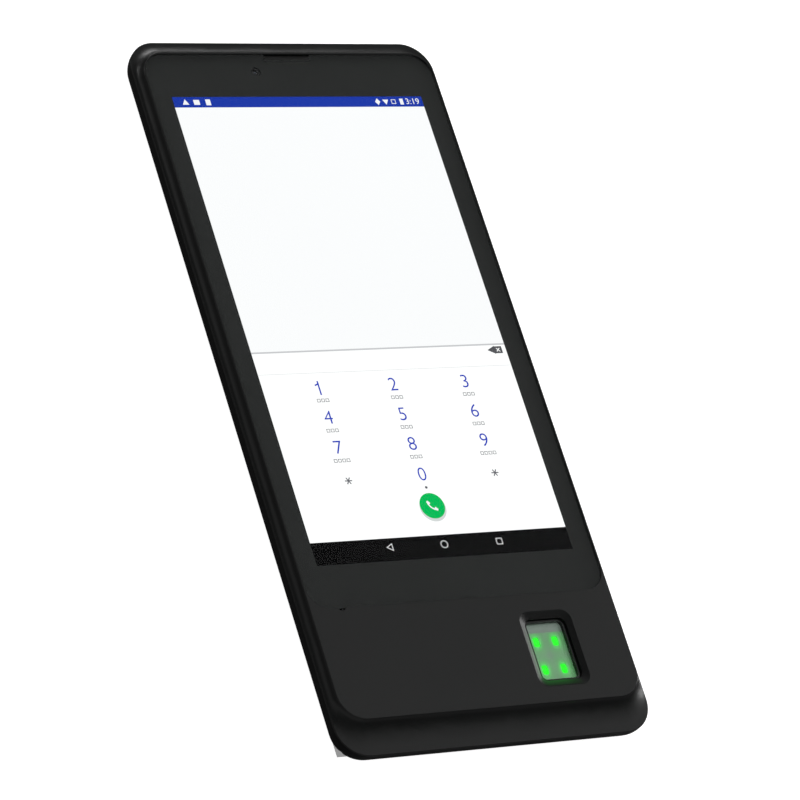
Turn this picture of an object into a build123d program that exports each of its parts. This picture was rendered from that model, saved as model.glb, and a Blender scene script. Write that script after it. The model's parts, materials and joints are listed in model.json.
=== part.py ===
"""Hand-held fingerprint scanner terminal, one STEP file for each separate piece.

Frame: X across the device (its right is +X), Y up the screen, Z out of the screen.
The origin is the middle of the flat back. Lengths are millimetres.
"""
from build123d import *
import math
import os

os.makedirs("parts", exist_ok=True)

# ------------------------------------------------------------------ overall sizes
body_width = 104.2
body_length = 231.7
body_thickness = 12.0
rim_corner_radius = 9.6

# ------------------------------------------------------------------ front housing
rim_drop = 2.8
lip_height = 0.5
deck_side_margin = 2.0
deck_top_margin = 4.9
deck_bottom_margin = 9.75
deck_corner_radius = 8.2
deck_plate = 1.6
deck_wall = 1.45
flange_thickness = 0.8
skirt_steps = 7
deck_edge_radius = 0.3
rim_edge_radius = 0.2

# ------------------------------------------------------------------ rear housing
rear_wall = 1.6
rear_floor = 1.5
rear_lip_height = 0.5
wall_over_fillet = 1.0
housing_fit = 0.15

# ------------------------------------------------------------------ screen
glass_thickness = 1.0
glass_length = 181.9
glass_side_margin = 0.75
glass_top_margin = 0.9
glass_corner_radius = 6.8
glass_gap = 0.15
glass_chamfer = 0.2
tape_thickness = 0.1
tape_width = 0.9
ink_thickness = 0.05
active_side_margin = 6.39
active_top_margin = 14.3
active_bottom_margin = 13.39
panel_side_border = 5.04
panel_end_border = 4.845
panel_corner_radius = 0.8
panel_gap = 0.2
cell_thickness = 1.2
backlight_thickness = 1.4
backlight_floor = 0.3
flex_slot = 2.7
flex_bend_radius = 0.5
display_flex_width = 12.0
display_flex_reach = 13.0
touch_flex_x = -2.0
touch_flex_width = 10.0
touch_flex_from_slot_edge = 0.54
touch_flex_reach = 4.0
tray_thickness = 0.5
tray_overhang = 0.35
stack_gap = 0.1

# ------------------------------------------------------------------ openings round the screen
camera_x = -11.9
camera_below_glass_top = 5.6
camera_hole_radius = 1.6
camera_body = 6.0
camera_height = 3.6
camera_corner_radius = 0.4
camera_bore_foot_radius = 0.35
camera_bore_mouth_radius = 1.0
camera_bore_depth = 0.5
camera_lens_radius = 0.45
camera_lens_curve = 0.62
camera_lens_sink = 0.75
slot_width = 16.0
slot_depth = 2.0
slot_corner_radius = 0.6
earpiece_side_shelf = 0.5
earpiece_end_shelf = 0.3
earpiece_shift = 0.2
earpiece_corner_radius = 0.4
mesh_thickness = 0.3
receiver_width = 14.6
receiver_length = 6.0
receiver_height = 2.3
receiver_corner_radius = 1.5
receiver_mouth_margin = 1.5
receiver_mouth_length = 1.2
receiver_mouth_depth = 0.6
mic_port_from_glass_side = 9.65
mic_port_above_glass_edge = 0.3
mic_port_radius = 1.4
mic_hole_radius = 0.5
mic_hole_offset = 0.6

# ------------------------------------------------------------------ fingerprint scanner
scanner_x = 25.1
scanner_above_deck_bottom = 16.75
window_width = 14.0
window_length = 19.2
window_corner_radius = 2.2
dish_width = 17.6
dish_length = 23.6
dish_corner_radius = 3.4
dish_depth = 0.8
bezel_fit = 0.12
bezel_side_wall = 0.75
bezel_end_wall = 0.55
bezel_below_deck = 1.5
platen_below_deck = 2.6
platen_thickness = 0.9
platen_fit = 0.05
platen_corner_radius = 1.35
platen_chamfer = 0.12
module_width = 17.0
module_length = 23.0
module_corner_radius = 1.5
gasket_thickness = 0.2
gasket_gap = 0.2
light_plate_thickness = 0.6
light_plate_corner_radius = 1.0
lamp_width = 1.7
lamp_length = 2.6
lamp_height = 0.6
lamp_pitch_x = 6.4
lamp_pitch_y = 8.7
lamp_offset_y = -0.8
lamp_gap = 0.15
lamp_corner_radius = 0.2
scanner_board_thickness = 0.8
scanner_board_corner_radius = 0.5
scanner_chip_width = 6.0
scanner_chip_height = 0.8
scanner_chip_room = 1.0
holder_wall = 0.8
holder_floor = 0.6
holder_slot_width = 9.0
holder_slot_length = 4.0
bracket_thickness = 0.6
bracket_width = 9.0
bracket_reach = 5.0
bracket_hole_radius = 0.8
scanner_flex_width = 8.0
scanner_flex_start = 6.0

# ------------------------------------------------------------------ boards and what is on them
board_thickness = 0.8
board_below_tray = 1.1
board_edge_gap = 1.7
board_side_margin = 1.5
board_column_width = 26.5
board_top_width = 78.0
board_top_length = 66.0
board_foot_above_panel_edge = 13.3
shield_height = 1.7
shield_wall = 0.25
shield_corner_radius = 0.8
processor_x = 4.0
processor_shield_width = 30.0
processor_shield_length = 28.0
processor_chip_width = 14.0
radio_x = -26.0
radio_shield_width = 20.0
radio_shield_length = 30.0
radio_chip_width = 9.0
chip_height = 1.0
shield_below_board_top = 45.0
connector_height = 0.6
connector_length = 3.0
display_connector_margin = 1.0
camera_connector_width = 7.0
camera_connector_shift = 8.0
camera_connector_below_top = 14.0
key_connector_width = 10.0
key_connector_x = 8.0
key_connector_above_edge = 6.0
flex_thickness = 0.15
lower_board_length = 17.0
lower_board_right = 12.0
lower_board_past_mic = 1.7
lower_board_above_panel_edge = 2.8
microphone_width = 2.6
microphone_length = 3.4
microphone_height = 1.0
microphone_corner_radius = 0.2
microphone_tube_radius = 1.4
link_from_board_edge = 13.5
link_width = 7.0
link_overlap = 4.0
standoff_radius = 2.0
board_screw_margin_left = 4.0
board_screw_margin_right = 3.0
board_screw_above_foot = 5.0
board_screw_below_top = 28.0
board_screw_radius = 0.7
board_screw_clearance = 0.2
board_screw_head_radius = 1.5
board_screw_head = 0.6
board_screw_cross_width = 0.3
board_screw_cross_length = 1.6
board_screw_cross_depth = 0.35
running_gap = 0.05

# ------------------------------------------------------------------ battery and sound
battery_width = 62.0
battery_above_lower_board = 9.95
battery_thickness = 4.0
battery_corner_radius = 2.0
battery_edge_radius = 1.2
battery_head_length = 4.0
battery_head_inset = 1.0
battery_head_step = 0.6
lead_x = 8.0
lead_width = 4.0
lead_plug_width = 8.0
lead_plug_length = 3.0
lead_reach = 4.0
lead_below_battery_top = 1.1
rib_height = 2.0
rib_thickness = 0.9
part_gap = 0.3
speaker_width = 26.0
speaker_length = 15.0
speaker_height = 4.6
speaker_corner_radius = 1.5
speaker_mouth_side = 3.0
speaker_mouth_end = 2.0
speaker_mouth_depth = 0.8
speaker_mouth_radius = 3.0
speaker_cone_gap = 0.2
speaker_cone_thickness = 0.4
speaker_mesh_margin = 0.75
speaker_mesh_thickness = 0.2
speaker_mesh_radius = 1.0
speaker_x = -25.0
speaker_above_bottom = 25.0
grille_slots = 7
grille_pitch = 2.6
grille_slot_width = 1.2
grille_slot_length = 9.0
motor_radius = 4.0
motor_thickness = 2.6
motor_chamfer = 0.3
motor_from_board_edge = 2.0

# ------------------------------------------------------------------ sockets in the top wall
usb_x = 0.0
usb_width = 8.94
usb_height = 3.26
usb_depth = 7.3
usb_mouth_sink = 1.6
usb_wall = 0.25
usb_back_wall = 1.0
usb_tongue_width = 6.69
usb_tongue_height = 0.7
usb_tongue_corner_radius = 0.2
usb_tongue_sink = 0.8
usb_above_board = 0.2
audio_x = 24.0
audio_bore_radius = 1.8
audio_body_width = 6.2
audio_body_height = 3.9
audio_depth = 11.4
audio_mouth_sink = 1.4
audio_opening_gap = 0.25
audio_above_board = 0.1
socket_clearance = 0.2
wall_opening_depth = 6.0
round_end_limit = 0.01

# ------------------------------------------------------------------ rear camera
rear_camera_x = 32.0
rear_camera_below_top = 18.0
rear_window_radius = 4.2
rear_ring_radius = 5.2
rear_window_thickness = 0.8
rear_window_sink = 0.1
rear_ring_chamfer = 0.2
rear_camera_body = 8.5
rear_camera_height = 4.2
rear_camera_corner_radius = 0.5
rear_camera_cutout_gap = 0.5
rear_barrel_inset = 1.0
rear_barrel_overlap = 1.0
rear_bore_radius = 1.5
rear_bore_depth = 1.0
rear_lens_curve = 2.2
rear_lens_rise = 0.2
rear_lens_gap = 0.05
flash_offset = 10.0
flash_radius = 1.5
flash_lamp_width = 2.0
flash_lamp_height = 0.7

# ------------------------------------------------------------------ card tray, left wall
card_y = 3.0
card_face_lip = 1.2
card_face_height = 2.4
card_face_past_wall = 0.2
card_plane_z = 5.1
card_tray_depth = 20.0
card_tray_width = 13.6
card_tray_thickness = 0.9
card_width = 8.8
card_length = 12.3
card_thickness = 0.67
card_corner_cut = 1.6
card_sheet_fit = 0.12
card_seat_floor = 0.15
card_seat_shift = 1.0
card_ledge_end = 1.0
card_ledge_side = 0.8
card_socket_rail = 1.0
pin_hole_radius = 0.45
pin_hole_from_end = 1.8
pin_hole_depth = 4.0

# ------------------------------------------------------------------ keys, right wall
key_z = 5.9
key_height = 2.2
key_face_inset = 0.05
key_fit = 0.12
key_flange = 0.9
key_flange_lip = 0.3
key_flange_thickness = 0.7
key_inside_gap = 0.3
key_round = 0.45
rocker_pivot_radius = 0.7
power_y = 58.0
power_length = 10.0
volume_y = 81.0
volume_length = 22.0
dome_radius = 1.3
dome_height = 0.6
dome_gap = 0.32
dome_from_key_end = 3.0
key_board_thickness = 0.5
key_board_margin = 0.2

# ------------------------------------------------------------------ case screws
screw_side_margin = 10.1
screw_waist_side_margin = 7.3
screw_top_margin = 10.2
screw_waist_above_glass_edge = 1.4
screw_bottom_margin = 14.8
screw_radius = 0.95
screw_head_radius = 1.8
screw_head_height = 1.2
screw_head_sink = 0.4
screw_head_chamfer = 0.25
screw_cross_width = 0.5
screw_cross_length = 2.4
screw_cross_depth = 0.8
screw_length = 6.4
boss_radius = 2.6
boss_seat = 1.2
thread_gap = 0.05

# ------------------------------------------------------------------ antennas
antenna_corner_radius = 1.0
upper_antenna_x = -18.0
upper_antenna_width = 30.0
upper_antenna_length = 6.0
upper_antenna_gap = 2.0
lower_antenna_x = 12.0
lower_antenna_width = 34.0
lower_antenna_length = 5.0
lower_antenna_gap = 1.0

# ------------------------------------------------------------------ heights worked out from those sizes
deck_z = body_thickness
rim_z = body_thickness - rim_drop
parting_z = rim_z - lip_height
back_radius = min(parting_z - rear_lip_height, rim_corner_radius - wall_over_fillet)
plate_under_z = deck_z - deck_plate
flange_z = parting_z - flange_thickness
glass_under_z = deck_z - glass_thickness
recess_z = glass_under_z - ink_thickness - tape_thickness
cell_top_z = glass_under_z - 2 * stack_gap
cell_under_z = cell_top_z - cell_thickness
backlight_under_z = cell_under_z - backlight_thickness
tray_top_z = backlight_under_z - stack_gap
tray_under_z = tray_top_z - tray_thickness
board_top_z = tray_under_z - board_below_tray
board_under_z = board_top_z - board_thickness
screw_head_top_z = screw_head_sink + screw_head_height
screw_tip_z = screw_head_top_z + screw_length
rear_boss_top_z = screw_head_top_z + boss_seat
front_boss_foot_z = rear_boss_top_z + running_gap

# ------------------------------------------------------------------ places in plan worked out from them
half_width = body_width / 2
half_length = body_length / 2
deck_width = body_width - 2 * deck_side_margin
deck_top = half_length - deck_top_margin
deck_bottom = -half_length + deck_bottom_margin
deck_length = deck_top - deck_bottom
deck_y = (deck_top + deck_bottom) / 2
glass_width = deck_width - 2 * glass_side_margin
glass_top = deck_top - glass_top_margin
glass_bottom = glass_top - glass_length
glass_y = (glass_top + glass_bottom) / 2
active_width = glass_width - 2 * active_side_margin
active_length = glass_length - active_top_margin - active_bottom_margin
active_y = glass_top - active_top_margin - active_length / 2
panel_width = active_width + 2 * panel_side_border
panel_length = active_length + 2 * panel_end_border
panel_top = active_y + panel_length / 2
panel_bottom = active_y - panel_length / 2
camera_y = glass_top - camera_below_glass_top
slot_y = glass_top - slot_depth / 2
earpiece_y = slot_y - earpiece_shift
earpiece_width = slot_width - 2 * earpiece_side_shelf
earpiece_length = slot_depth - 2 * earpiece_end_shelf
mic_port_x = -glass_width / 2 + mic_port_from_glass_side
mic_port_y = glass_bottom + mic_port_above_glass_edge
mic_hole_y = mic_port_y - mic_hole_offset
scanner_y = deck_bottom + scanner_above_deck_bottom
board_top = half_length - rear_wall - board_edge_gap
board_left = -panel_width / 2 + board_side_margin
board_foot = panel_bottom + board_foot_above_panel_edge
lower_board_top = panel_bottom + lower_board_above_panel_edge
lower_board_left = mic_port_x - lower_board_past_mic
lower_board_y = lower_board_top - lower_board_length / 2
link_x = board_left + link_from_board_edge
speaker_y = -half_length + speaker_above_bottom
chips_y = board_top - shield_below_board_top
battery_x = board_left + board_column_width + 2 * part_gap + rib_thickness + battery_width / 2
battery_top = board_top - board_top_length - 4 * part_gap - rib_thickness
battery_length = battery_top - lower_board_top - battery_above_lower_board
battery_y = battery_top - battery_length / 2
rear_camera_y = half_length - rear_camera_below_top
screw_places = [
    (side * x, y)
    for x, y in (
        (half_width - screw_side_margin, half_length - screw_top_margin),
        (half_width - screw_waist_side_margin, glass_bottom + screw_waist_above_glass_edge),
        (half_width - screw_side_margin, -half_length + screw_bottom_margin),
    )
    for side in (-1, 1)
]


# ------------------------------------------------------------------ helpers
def block(width, length, z_low, z_high, x=0.0, y=0.0, radius=0.0):
    """An upright block between two heights, with round vertical corners if a radius is given."""
    outline = RectangleRounded(width, length, radius) if radius else Rectangle(width, length)
    return extrude(Pos(x, y, z_low) * outline, amount=z_high - z_low)


def disc(radius, z_low, z_high, x=0.0, y=0.0):
    """An upright cylinder between two heights."""
    return extrude(Pos(x, y, z_low) * Circle(radius), amount=z_high - z_low)


def span(x_low, x_high, y_low, y_high, z_low, z_high):
    """A plain box between two corners."""
    size = (x_high - x_low, y_high - y_low, z_high - z_low)
    middle = ((x_low + x_high) / 2, (y_low + y_high) / 2, (z_low + z_high) / 2)
    return Pos(*middle) * Box(*size)


def save(name, shape):
    """Writes one piece under its node name."""
    export_step(shape, f"parts/{name}.step")


def group(pieces):
    """Several separate solids kept as one node."""
    return Compound(children=[piece.solid() for piece in pieces])


def body_outer(grow=0.0):
    """The rear half of the outer form: straight lip, then a quarter round to the flat back."""
    form = block(
        body_width + 2 * grow, body_length + 2 * grow, -grow, parting_z, radius=rim_corner_radius + grow
    )
    under_edges = form.edges().group_by(Axis.Z)[0]
    return fillet(under_edges, back_radius + grow)


def body_inner():
    """The space inside the rear housing."""
    inset = rear_wall
    form = block(
        body_width - 2 * inset, body_length - 2 * inset, rear_floor, parting_z,
        radius=rim_corner_radius - inset,
    )
    under_edges = form.edges().group_by(Axis.Z)[0]
    return fillet(under_edges, back_radius - inset)


def inner_wall_inset(z):
    """How far inside the rim the rear housing's inner face stands at a height."""
    radius = back_radius - rear_wall
    below = max(rear_floor + radius - z, 0.0)
    return rear_wall + radius - math.sqrt(radius**2 - below**2)


def inner_wall_x(z):
    """Where the inner face of the right wall stands at a height."""
    return half_width - inner_wall_inset(z)


usb_z = board_under_z + usb_above_board
audio_z = board_under_z + audio_above_board
audio_face_y = half_length - inner_wall_inset(audio_z - audio_body_height / 2) - part_gap


# ------------------------------------------------------------------ front housing
def skirt_outer():
    """Deck, and the hollow-curved skirt that falls to the wider rim."""
    sections = []
    for step in range(skirt_steps):
        turn = math.pi / 2 * step / (skirt_steps - 1)
        spread = 1 - math.cos(turn)
        drop = rim_drop * math.sin(turn)
        top = deck_top + deck_top_margin * spread
        bottom = deck_bottom - deck_bottom_margin * spread
        width = deck_width + 2 * deck_side_margin * spread
        radius = deck_corner_radius + (rim_corner_radius - deck_corner_radius) * spread
        outline = RectangleRounded(width, top - bottom, radius)
        sections.append(Pos(0, (top + bottom) / 2, deck_z - drop) * outline)
    form = loft(sections[::-1])
    return fillet(form.edges().group_by(Axis.Z)[-1], deck_edge_radius)


def dish():
    """The soft hollow that leads a finger down to the scanner's window."""
    brim = Pos(scanner_x, scanner_y, deck_z) * RectangleRounded(dish_width, dish_length, dish_corner_radius)
    foot = Pos(scanner_x, scanner_y, deck_z - dish_depth) * RectangleRounded(
        window_width, window_length, window_corner_radius
    )
    return loft([foot, brim], ruled=True)


def front_housing():
    shell = skirt_outer()
    shell += block(body_width, body_length, parting_z, rim_z, radius=rim_corner_radius)
    shell = fillet(shell.edges().filter_by_position(Axis.Z, rim_z, rim_z), rim_edge_radius)
    inset = rear_wall + housing_fit
    shell += block(
        body_width - 2 * inset, body_length - 2 * inset, flange_z, parting_z,
        radius=rim_corner_radius - inset,
    )
    shell -= block(
        deck_width - 2 * deck_wall, deck_length - 2 * deck_wall, flange_z, plate_under_z,
        y=deck_y, radius=deck_corner_radius - deck_wall,
    )
    shell -= block(
        glass_width + 2 * glass_gap, glass_length + 2 * glass_gap, recess_z, deck_z,
        y=glass_y, radius=glass_corner_radius + glass_gap,
    )
    shell -= span(
        -panel_width / 2 - panel_gap, panel_width / 2 + panel_gap,
        panel_bottom - flex_slot, panel_top + panel_gap, plate_under_z, recess_z,
    )
    for x, y in screw_places:
        shell += disc(boss_radius, front_boss_foot_z, plate_under_z, x, y)
        shell -= disc(screw_radius + thread_gap, front_boss_foot_z, screw_tip_z + part_gap, x, y)
    shell -= disc(camera_hole_radius, plate_under_z, recess_z, camera_x, camera_y)
    shell -= block(
        earpiece_width, earpiece_length, plate_under_z, recess_z, y=earpiece_y, radius=earpiece_corner_radius
    )
    shell -= disc(mic_port_radius, recess_z, deck_z, mic_port_x, mic_port_y)
    shell -= disc(mic_hole_radius, plate_under_z, recess_z, mic_port_x, mic_hole_y)
    shell -= dish()
    shell -= block(
        window_width, window_length, plate_under_z, deck_z - dish_depth,
        scanner_x, scanner_y, window_corner_radius,
    )
    return shell


# ------------------------------------------------------------------ rear housing
def speaker_grille():
    """The row of slots that lets the loudspeaker's sound out of the back."""
    first = speaker_x - grille_pitch * (grille_slots - 1) / 2
    slots = []
    for number in range(grille_slots):
        slots.append(
            block(
                grille_slot_width, grille_slot_length, 0.0, rear_floor,
                first + number * grille_pitch, speaker_y, grille_slot_width / 2 - round_end_limit,
            )
        )
    return slots


def key_opening(y, length):
    """The slot in the right wall that a key comes out through."""
    low = key_z - key_height / 2 - key_fit
    high = key_z + key_height / 2 + key_fit
    return span(
        inner_wall_x(low) - rear_wall, half_width,
        y - length / 2 - key_fit, y + length / 2 + key_fit, low, high,
    )


def rear_housing():
    shell = body_outer() - body_inner()
    for x, y in screw_places:
        shell += disc(boss_radius, rear_floor / 2, rear_boss_top_z, x, y)
        shell -= disc(screw_head_radius + thread_gap, 0.0, screw_head_top_z, x, y)
        shell -= disc(screw_radius + thread_gap, screw_head_top_z, rear_boss_top_z, x, y)
    battery_half_x = battery_width / 2 + part_gap
    battery_half_y = battery_length / 2 + part_gap
    rib_z = (rear_floor / 2, rear_floor + rib_height)
    for side in (-1, 1):
        edge = battery_x + side * (battery_half_x + rib_thickness / 2)
        shell += block(rib_thickness, battery_length, *rib_z, edge, battery_y)
        edge = battery_y + side * (battery_half_y + rib_thickness / 2)
        shell += block(battery_width, rib_thickness, *rib_z, battery_x, edge)
    for slot in speaker_grille():
        shell -= slot
    shell -= disc(rear_ring_radius + running_gap, 0.0, rear_floor, rear_camera_x, rear_camera_y)
    shell -= disc(flash_radius + running_gap, 0.0, rear_floor, rear_camera_x, rear_camera_y - flash_offset)
    shell -= key_opening(power_y, power_length)
    shell -= key_opening(volume_y, volume_length)
    shell -= card_opening(card_sheet_fit)
    shell -= usb_opening()
    shell -= audio_opening()
    return shell


# ------------------------------------------------------------------ screen
def ring(width, length, z_low, z_high, y, radius, thickness):
    """A flat frame of even width."""
    outer = block(width, length, z_low, z_high, y=y, radius=radius)
    inner = block(
        width - 2 * thickness, length - 2 * thickness, z_low, z_high, y=y, radius=radius - thickness
    )
    return outer - inner


def glass_notch(z_low, z_high, grow=0.0):
    """The earpiece's notch in the top edge of the glass."""
    return block(
        slot_width + 2 * grow, 2 * slot_depth + 2 * grow, z_low, z_high,
        y=glass_top, radius=slot_corner_radius,
    )


def cover_glass():
    plate = block(
        glass_width, glass_length, glass_under_z, deck_z, y=glass_y, radius=glass_corner_radius
    )
    plate = chamfer(plate.edges().group_by(Axis.Z)[-1], glass_chamfer)
    return plate - glass_notch(glass_under_z, deck_z)


def ink_border():
    z_low = glass_under_z - ink_thickness
    film = block(glass_width, glass_length, z_low, glass_under_z, y=glass_y, radius=glass_corner_radius)
    film -= block(active_width, active_length, z_low, glass_under_z, y=active_y)
    film -= disc(camera_hole_radius, z_low, glass_under_z, camera_x, camera_y)
    return film - glass_notch(z_low, glass_under_z)


def glass_tape():
    frame = ring(
        glass_width, glass_length, recess_z, recess_z + tape_thickness, glass_y,
        glass_corner_radius, tape_width,
    )
    return frame - glass_notch(recess_z, recess_z + tape_thickness)


def backlight_unit():
    tray = block(
        panel_width, panel_length, backlight_under_z, cell_under_z, y=active_y, radius=panel_corner_radius
    )
    pocket = block(
        panel_width - 2 * backlight_thickness, panel_length - 2 * backlight_thickness,
        backlight_under_z + backlight_floor, cell_under_z, y=active_y,
    )
    return tray - pocket


def backlight_sheets():
    """Light guide and diffuser sheets, lying in the backlight's tray."""
    margin = 2 * (backlight_thickness + stack_gap)
    return block(
        panel_width - margin, panel_length - margin,
        backlight_under_z + backlight_floor, cell_under_z, y=active_y,
    )


board_screw_places = [
    (board_left + board_screw_margin_left, board_foot + board_screw_above_foot),
    (board_left + board_screw_margin_left, board_top - board_screw_below_top),
    (board_left + board_column_width - board_screw_margin_right, board_foot + board_screw_above_foot),
    (board_top_width / 2 - board_screw_margin_left, board_top - board_screw_below_top),
]


def display_tray():
    plate = block(
        panel_width + 2 * tray_overhang, panel_length, tray_under_z, tray_top_z,
        y=active_y, radius=panel_corner_radius,
    )
    for x, y in board_screw_places:
        plate += disc(standoff_radius, board_top_z, tray_top_z, x, y)
        plate -= disc(board_screw_radius + running_gap, board_top_z, tray_top_z, x, y)
    return plate


def board_screws():
    screws = []
    for x, y in board_screw_places:
        screw = disc(board_screw_radius, board_under_z, tray_under_z, x, y)
        head = disc(board_screw_head_radius, board_under_z - board_screw_head, board_under_z, x, y)
        head = chamfer(head.edges().group_by(Axis.Z)[0], board_screw_head / 4)
        screw += head
        cross_z = board_under_z - board_screw_head
        cross = (cross_z, cross_z + board_screw_cross_depth, x, y)
        screw -= block(board_screw_cross_width, board_screw_cross_length, *cross)
        screw -= block(board_screw_cross_length, board_screw_cross_width, *cross)
        screws.append(screw)
    return group(screws)


def bent_strip(width, x, points, bend):
    """A flat cable seen from the side: points (y, z) along its middle, joined with round bends."""
    side = Plane(origin=(x - width / 2, 0, 0), z_dir=(1, 0, 0), x_dir=(0, 1, 0))
    line = FilletPolyline(*points, radius=bend)
    profile = trace(line, flex_thickness)
    return extrude(side * profile, amount=width)


def display_flex():
    """The panel's cable: out of its lower edge, down, and back under the tray to the main board."""
    start = panel_bottom
    out = panel_bottom - flex_slot / 2
    run_z = board_top_z + connector_height + flex_thickness / 2
    end = board_foot + display_flex_reach
    panel_z = backlight_under_z + backlight_thickness / 2
    points = [(start, panel_z), (out, panel_z), (out, run_z), (end, run_z)]
    return bent_strip(display_flex_width, board_left + board_column_width / 2, points, flex_bend_radius)


def touch_flex():
    """The touch film's cable: down through the slot below the panel, then on to the lower board."""
    out = panel_bottom - flex_slot + touch_flex_from_slot_edge
    run_z = board_top_z + flex_thickness
    points = [(out, recess_z), (out, run_z), (out - touch_flex_reach, run_z)]
    return bent_strip(touch_flex_width, touch_flex_x, points, flex_bend_radius)


# ------------------------------------------------------------------ camera, earpiece, microphone
def front_camera():
    top = recess_z - 2 * stack_gap
    z_low = top - camera_height
    base = block(
        camera_body, camera_body, z_low, plate_under_z - stack_gap, camera_x, camera_y, camera_corner_radius
    )
    barrel = disc(camera_hole_radius - stack_gap, z_low, top, camera_x, camera_y)
    bore = Pos(camera_x, camera_y, top) * Cone(
        camera_bore_foot_radius, camera_bore_mouth_radius, camera_bore_depth,
        align=(Align.CENTER, Align.CENTER, Align.MAX),
    )
    return base + barrel - bore


def front_camera_lens():
    top = recess_z - 2 * stack_gap
    dome = Pos(camera_x, camera_y, top - camera_lens_sink) * Sphere(camera_lens_curve)
    keep = disc(camera_lens_radius, top - camera_lens_radius, top, camera_x, camera_y)
    return dome & keep


def earpiece_mesh():
    z_high = recess_z - stack_gap
    return block(
        earpiece_width - 2 * stack_gap, earpiece_length - 2 * stack_gap, z_high - mesh_thickness, z_high,
        y=earpiece_y, radius=earpiece_corner_radius - stack_gap,
    )


def earpiece_receiver():
    z_high = plate_under_z - stack_gap
    y = deck_top - deck_wall - part_gap - receiver_length / 2
    box = block(
        receiver_width, receiver_length, z_high - receiver_height, z_high, y=y, radius=receiver_corner_radius
    )
    hollow = block(
        receiver_width - 2 * receiver_mouth_margin, receiver_mouth_length,
        z_high - receiver_mouth_depth, z_high, y=earpiece_y, radius=earpiece_corner_radius,
    )
    return box - hollow


# ------------------------------------------------------------------ fingerprint scanner
scanner_bezel_top = deck_z - bezel_below_deck
platen_top_z = deck_z - platen_below_deck
platen_under_z = platen_top_z - platen_thickness
holder_top_z = platen_under_z - stack_gap
light_plate_under_z = holder_top_z - light_plate_thickness
holder_floor_z = light_plate_under_z - scanner_board_thickness - 2 * stack_gap - scanner_chip_room
holder_under_z = holder_floor_z - holder_floor
bezel_inner_width = window_width - 2 * bezel_fit - 2 * bezel_side_wall
bezel_inner_length = window_length - 2 * bezel_fit - 2 * bezel_end_wall
bezel_flange_top = plate_under_z - gasket_thickness
platen_width = bezel_inner_width - 2 * platen_fit
platen_length = bezel_inner_length - 2 * platen_fit
lamp_places = [
    (scanner_x + side * lamp_pitch_x / 2, scanner_y + lamp_offset_y + end * lamp_pitch_y / 2)
    for side in (-1, 1)
    for end in (-1, 1)
]


def scanner_block(width, length, z_low, z_high, radius=0.0):
    """A block centred on the scanner's window."""
    return block(width, length, z_low, z_high, scanner_x, scanner_y, radius)


def fingerprint_bezel():
    nose = scanner_block(
        window_width - 2 * bezel_fit, window_length - 2 * bezel_fit, holder_top_z, scanner_bezel_top,
        window_corner_radius - bezel_fit,
    )
    flange = scanner_block(
        module_width, module_length, holder_top_z, bezel_flange_top, module_corner_radius
    )
    bore = scanner_block(
        bezel_inner_width, bezel_inner_length, holder_top_z, scanner_bezel_top,
        platen_corner_radius + platen_fit,
    )
    return nose + flange - bore


def fingerprint_glass():
    slab = scanner_block(platen_width, platen_length, platen_under_z, platen_top_z, platen_corner_radius)
    return chamfer(slab.edges().group_by(Axis.Z)[-1], platen_chamfer)


def fingerprint_gasket():
    outer = scanner_block(
        module_width, module_length, bezel_flange_top, plate_under_z, module_corner_radius
    )
    inner = scanner_block(
        window_width + 2 * gasket_gap, window_length + 2 * gasket_gap, bezel_flange_top, plate_under_z,
        window_corner_radius,
    )
    return outer - inner


def fingerprint_light_plate():
    plate = scanner_block(
        platen_width, platen_length, light_plate_under_z, holder_top_z, light_plate_corner_radius
    )
    for x, y in lamp_places:
        plate -= block(
            lamp_width + 2 * lamp_gap, lamp_length + 2 * lamp_gap, light_plate_under_z, holder_top_z,
            x, y, lamp_corner_radius + lamp_gap,
        )
    return plate


def fingerprint_lamps():
    lamps = []
    for x, y in lamp_places:
        lamp_top_z = light_plate_under_z + lamp_height - stack_gap
        lamps.append(
            block(lamp_width, lamp_length, light_plate_under_z, lamp_top_z, x, y, lamp_corner_radius)
        )
    return group(lamps)


def fingerprint_board():
    z_high = light_plate_under_z
    inside = 2 * (holder_wall + part_gap)
    return scanner_block(
        module_width - inside, module_length - inside, z_high - scanner_board_thickness, z_high,
        scanner_board_corner_radius,
    )


def fingerprint_processor():
    z_high = light_plate_under_z - scanner_board_thickness
    return scanner_block(scanner_chip_width, scanner_chip_width, z_high - scanner_chip_height, z_high)


def fingerprint_holder():
    tray = scanner_block(module_width, module_length, holder_under_z, holder_top_z, module_corner_radius)
    pocket = scanner_block(
        module_width - 2 * holder_wall, module_length - 2 * holder_wall,
        holder_floor_z, holder_top_z, module_corner_radius - holder_wall,
    )
    slot = block(
        holder_slot_width, holder_slot_length, holder_floor_z, holder_floor_z + scanner_chip_room,
        scanner_x, scanner_y + module_length / 2,
    )
    return tray - pocket - slot


def bracket_screw_places():
    reach = module_width / 2 + bracket_reach / 2
    return [(scanner_x - reach, scanner_y), (scanner_x + reach, scanner_y)]


def fingerprint_bracket():
    z_high = holder_under_z
    strap = block(
        module_width + 2 * bracket_reach, bracket_width, z_high - bracket_thickness, z_high,
        scanner_x, scanner_y, module_corner_radius,
    )
    for x, y in bracket_screw_places():
        strap -= disc(bracket_hole_radius, z_high - bracket_thickness, z_high, x, y)
    return strap


def fingerprint_flex():
    """Flat cable from the scanner's board to the lower board, turning once."""
    z_low = holder_floor_z + stack_gap
    half = scanner_flex_width / 2
    out = span(
        scanner_x - half, scanner_x + half, scanner_y + scanner_flex_start, lower_board_y + half,
        z_low, z_low + flex_thickness,
    )
    side = span(
        lower_board_right + part_gap, scanner_x - half, lower_board_y - half, lower_board_y + half,
        z_low, z_low + flex_thickness,
    )
    return out + side


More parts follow.
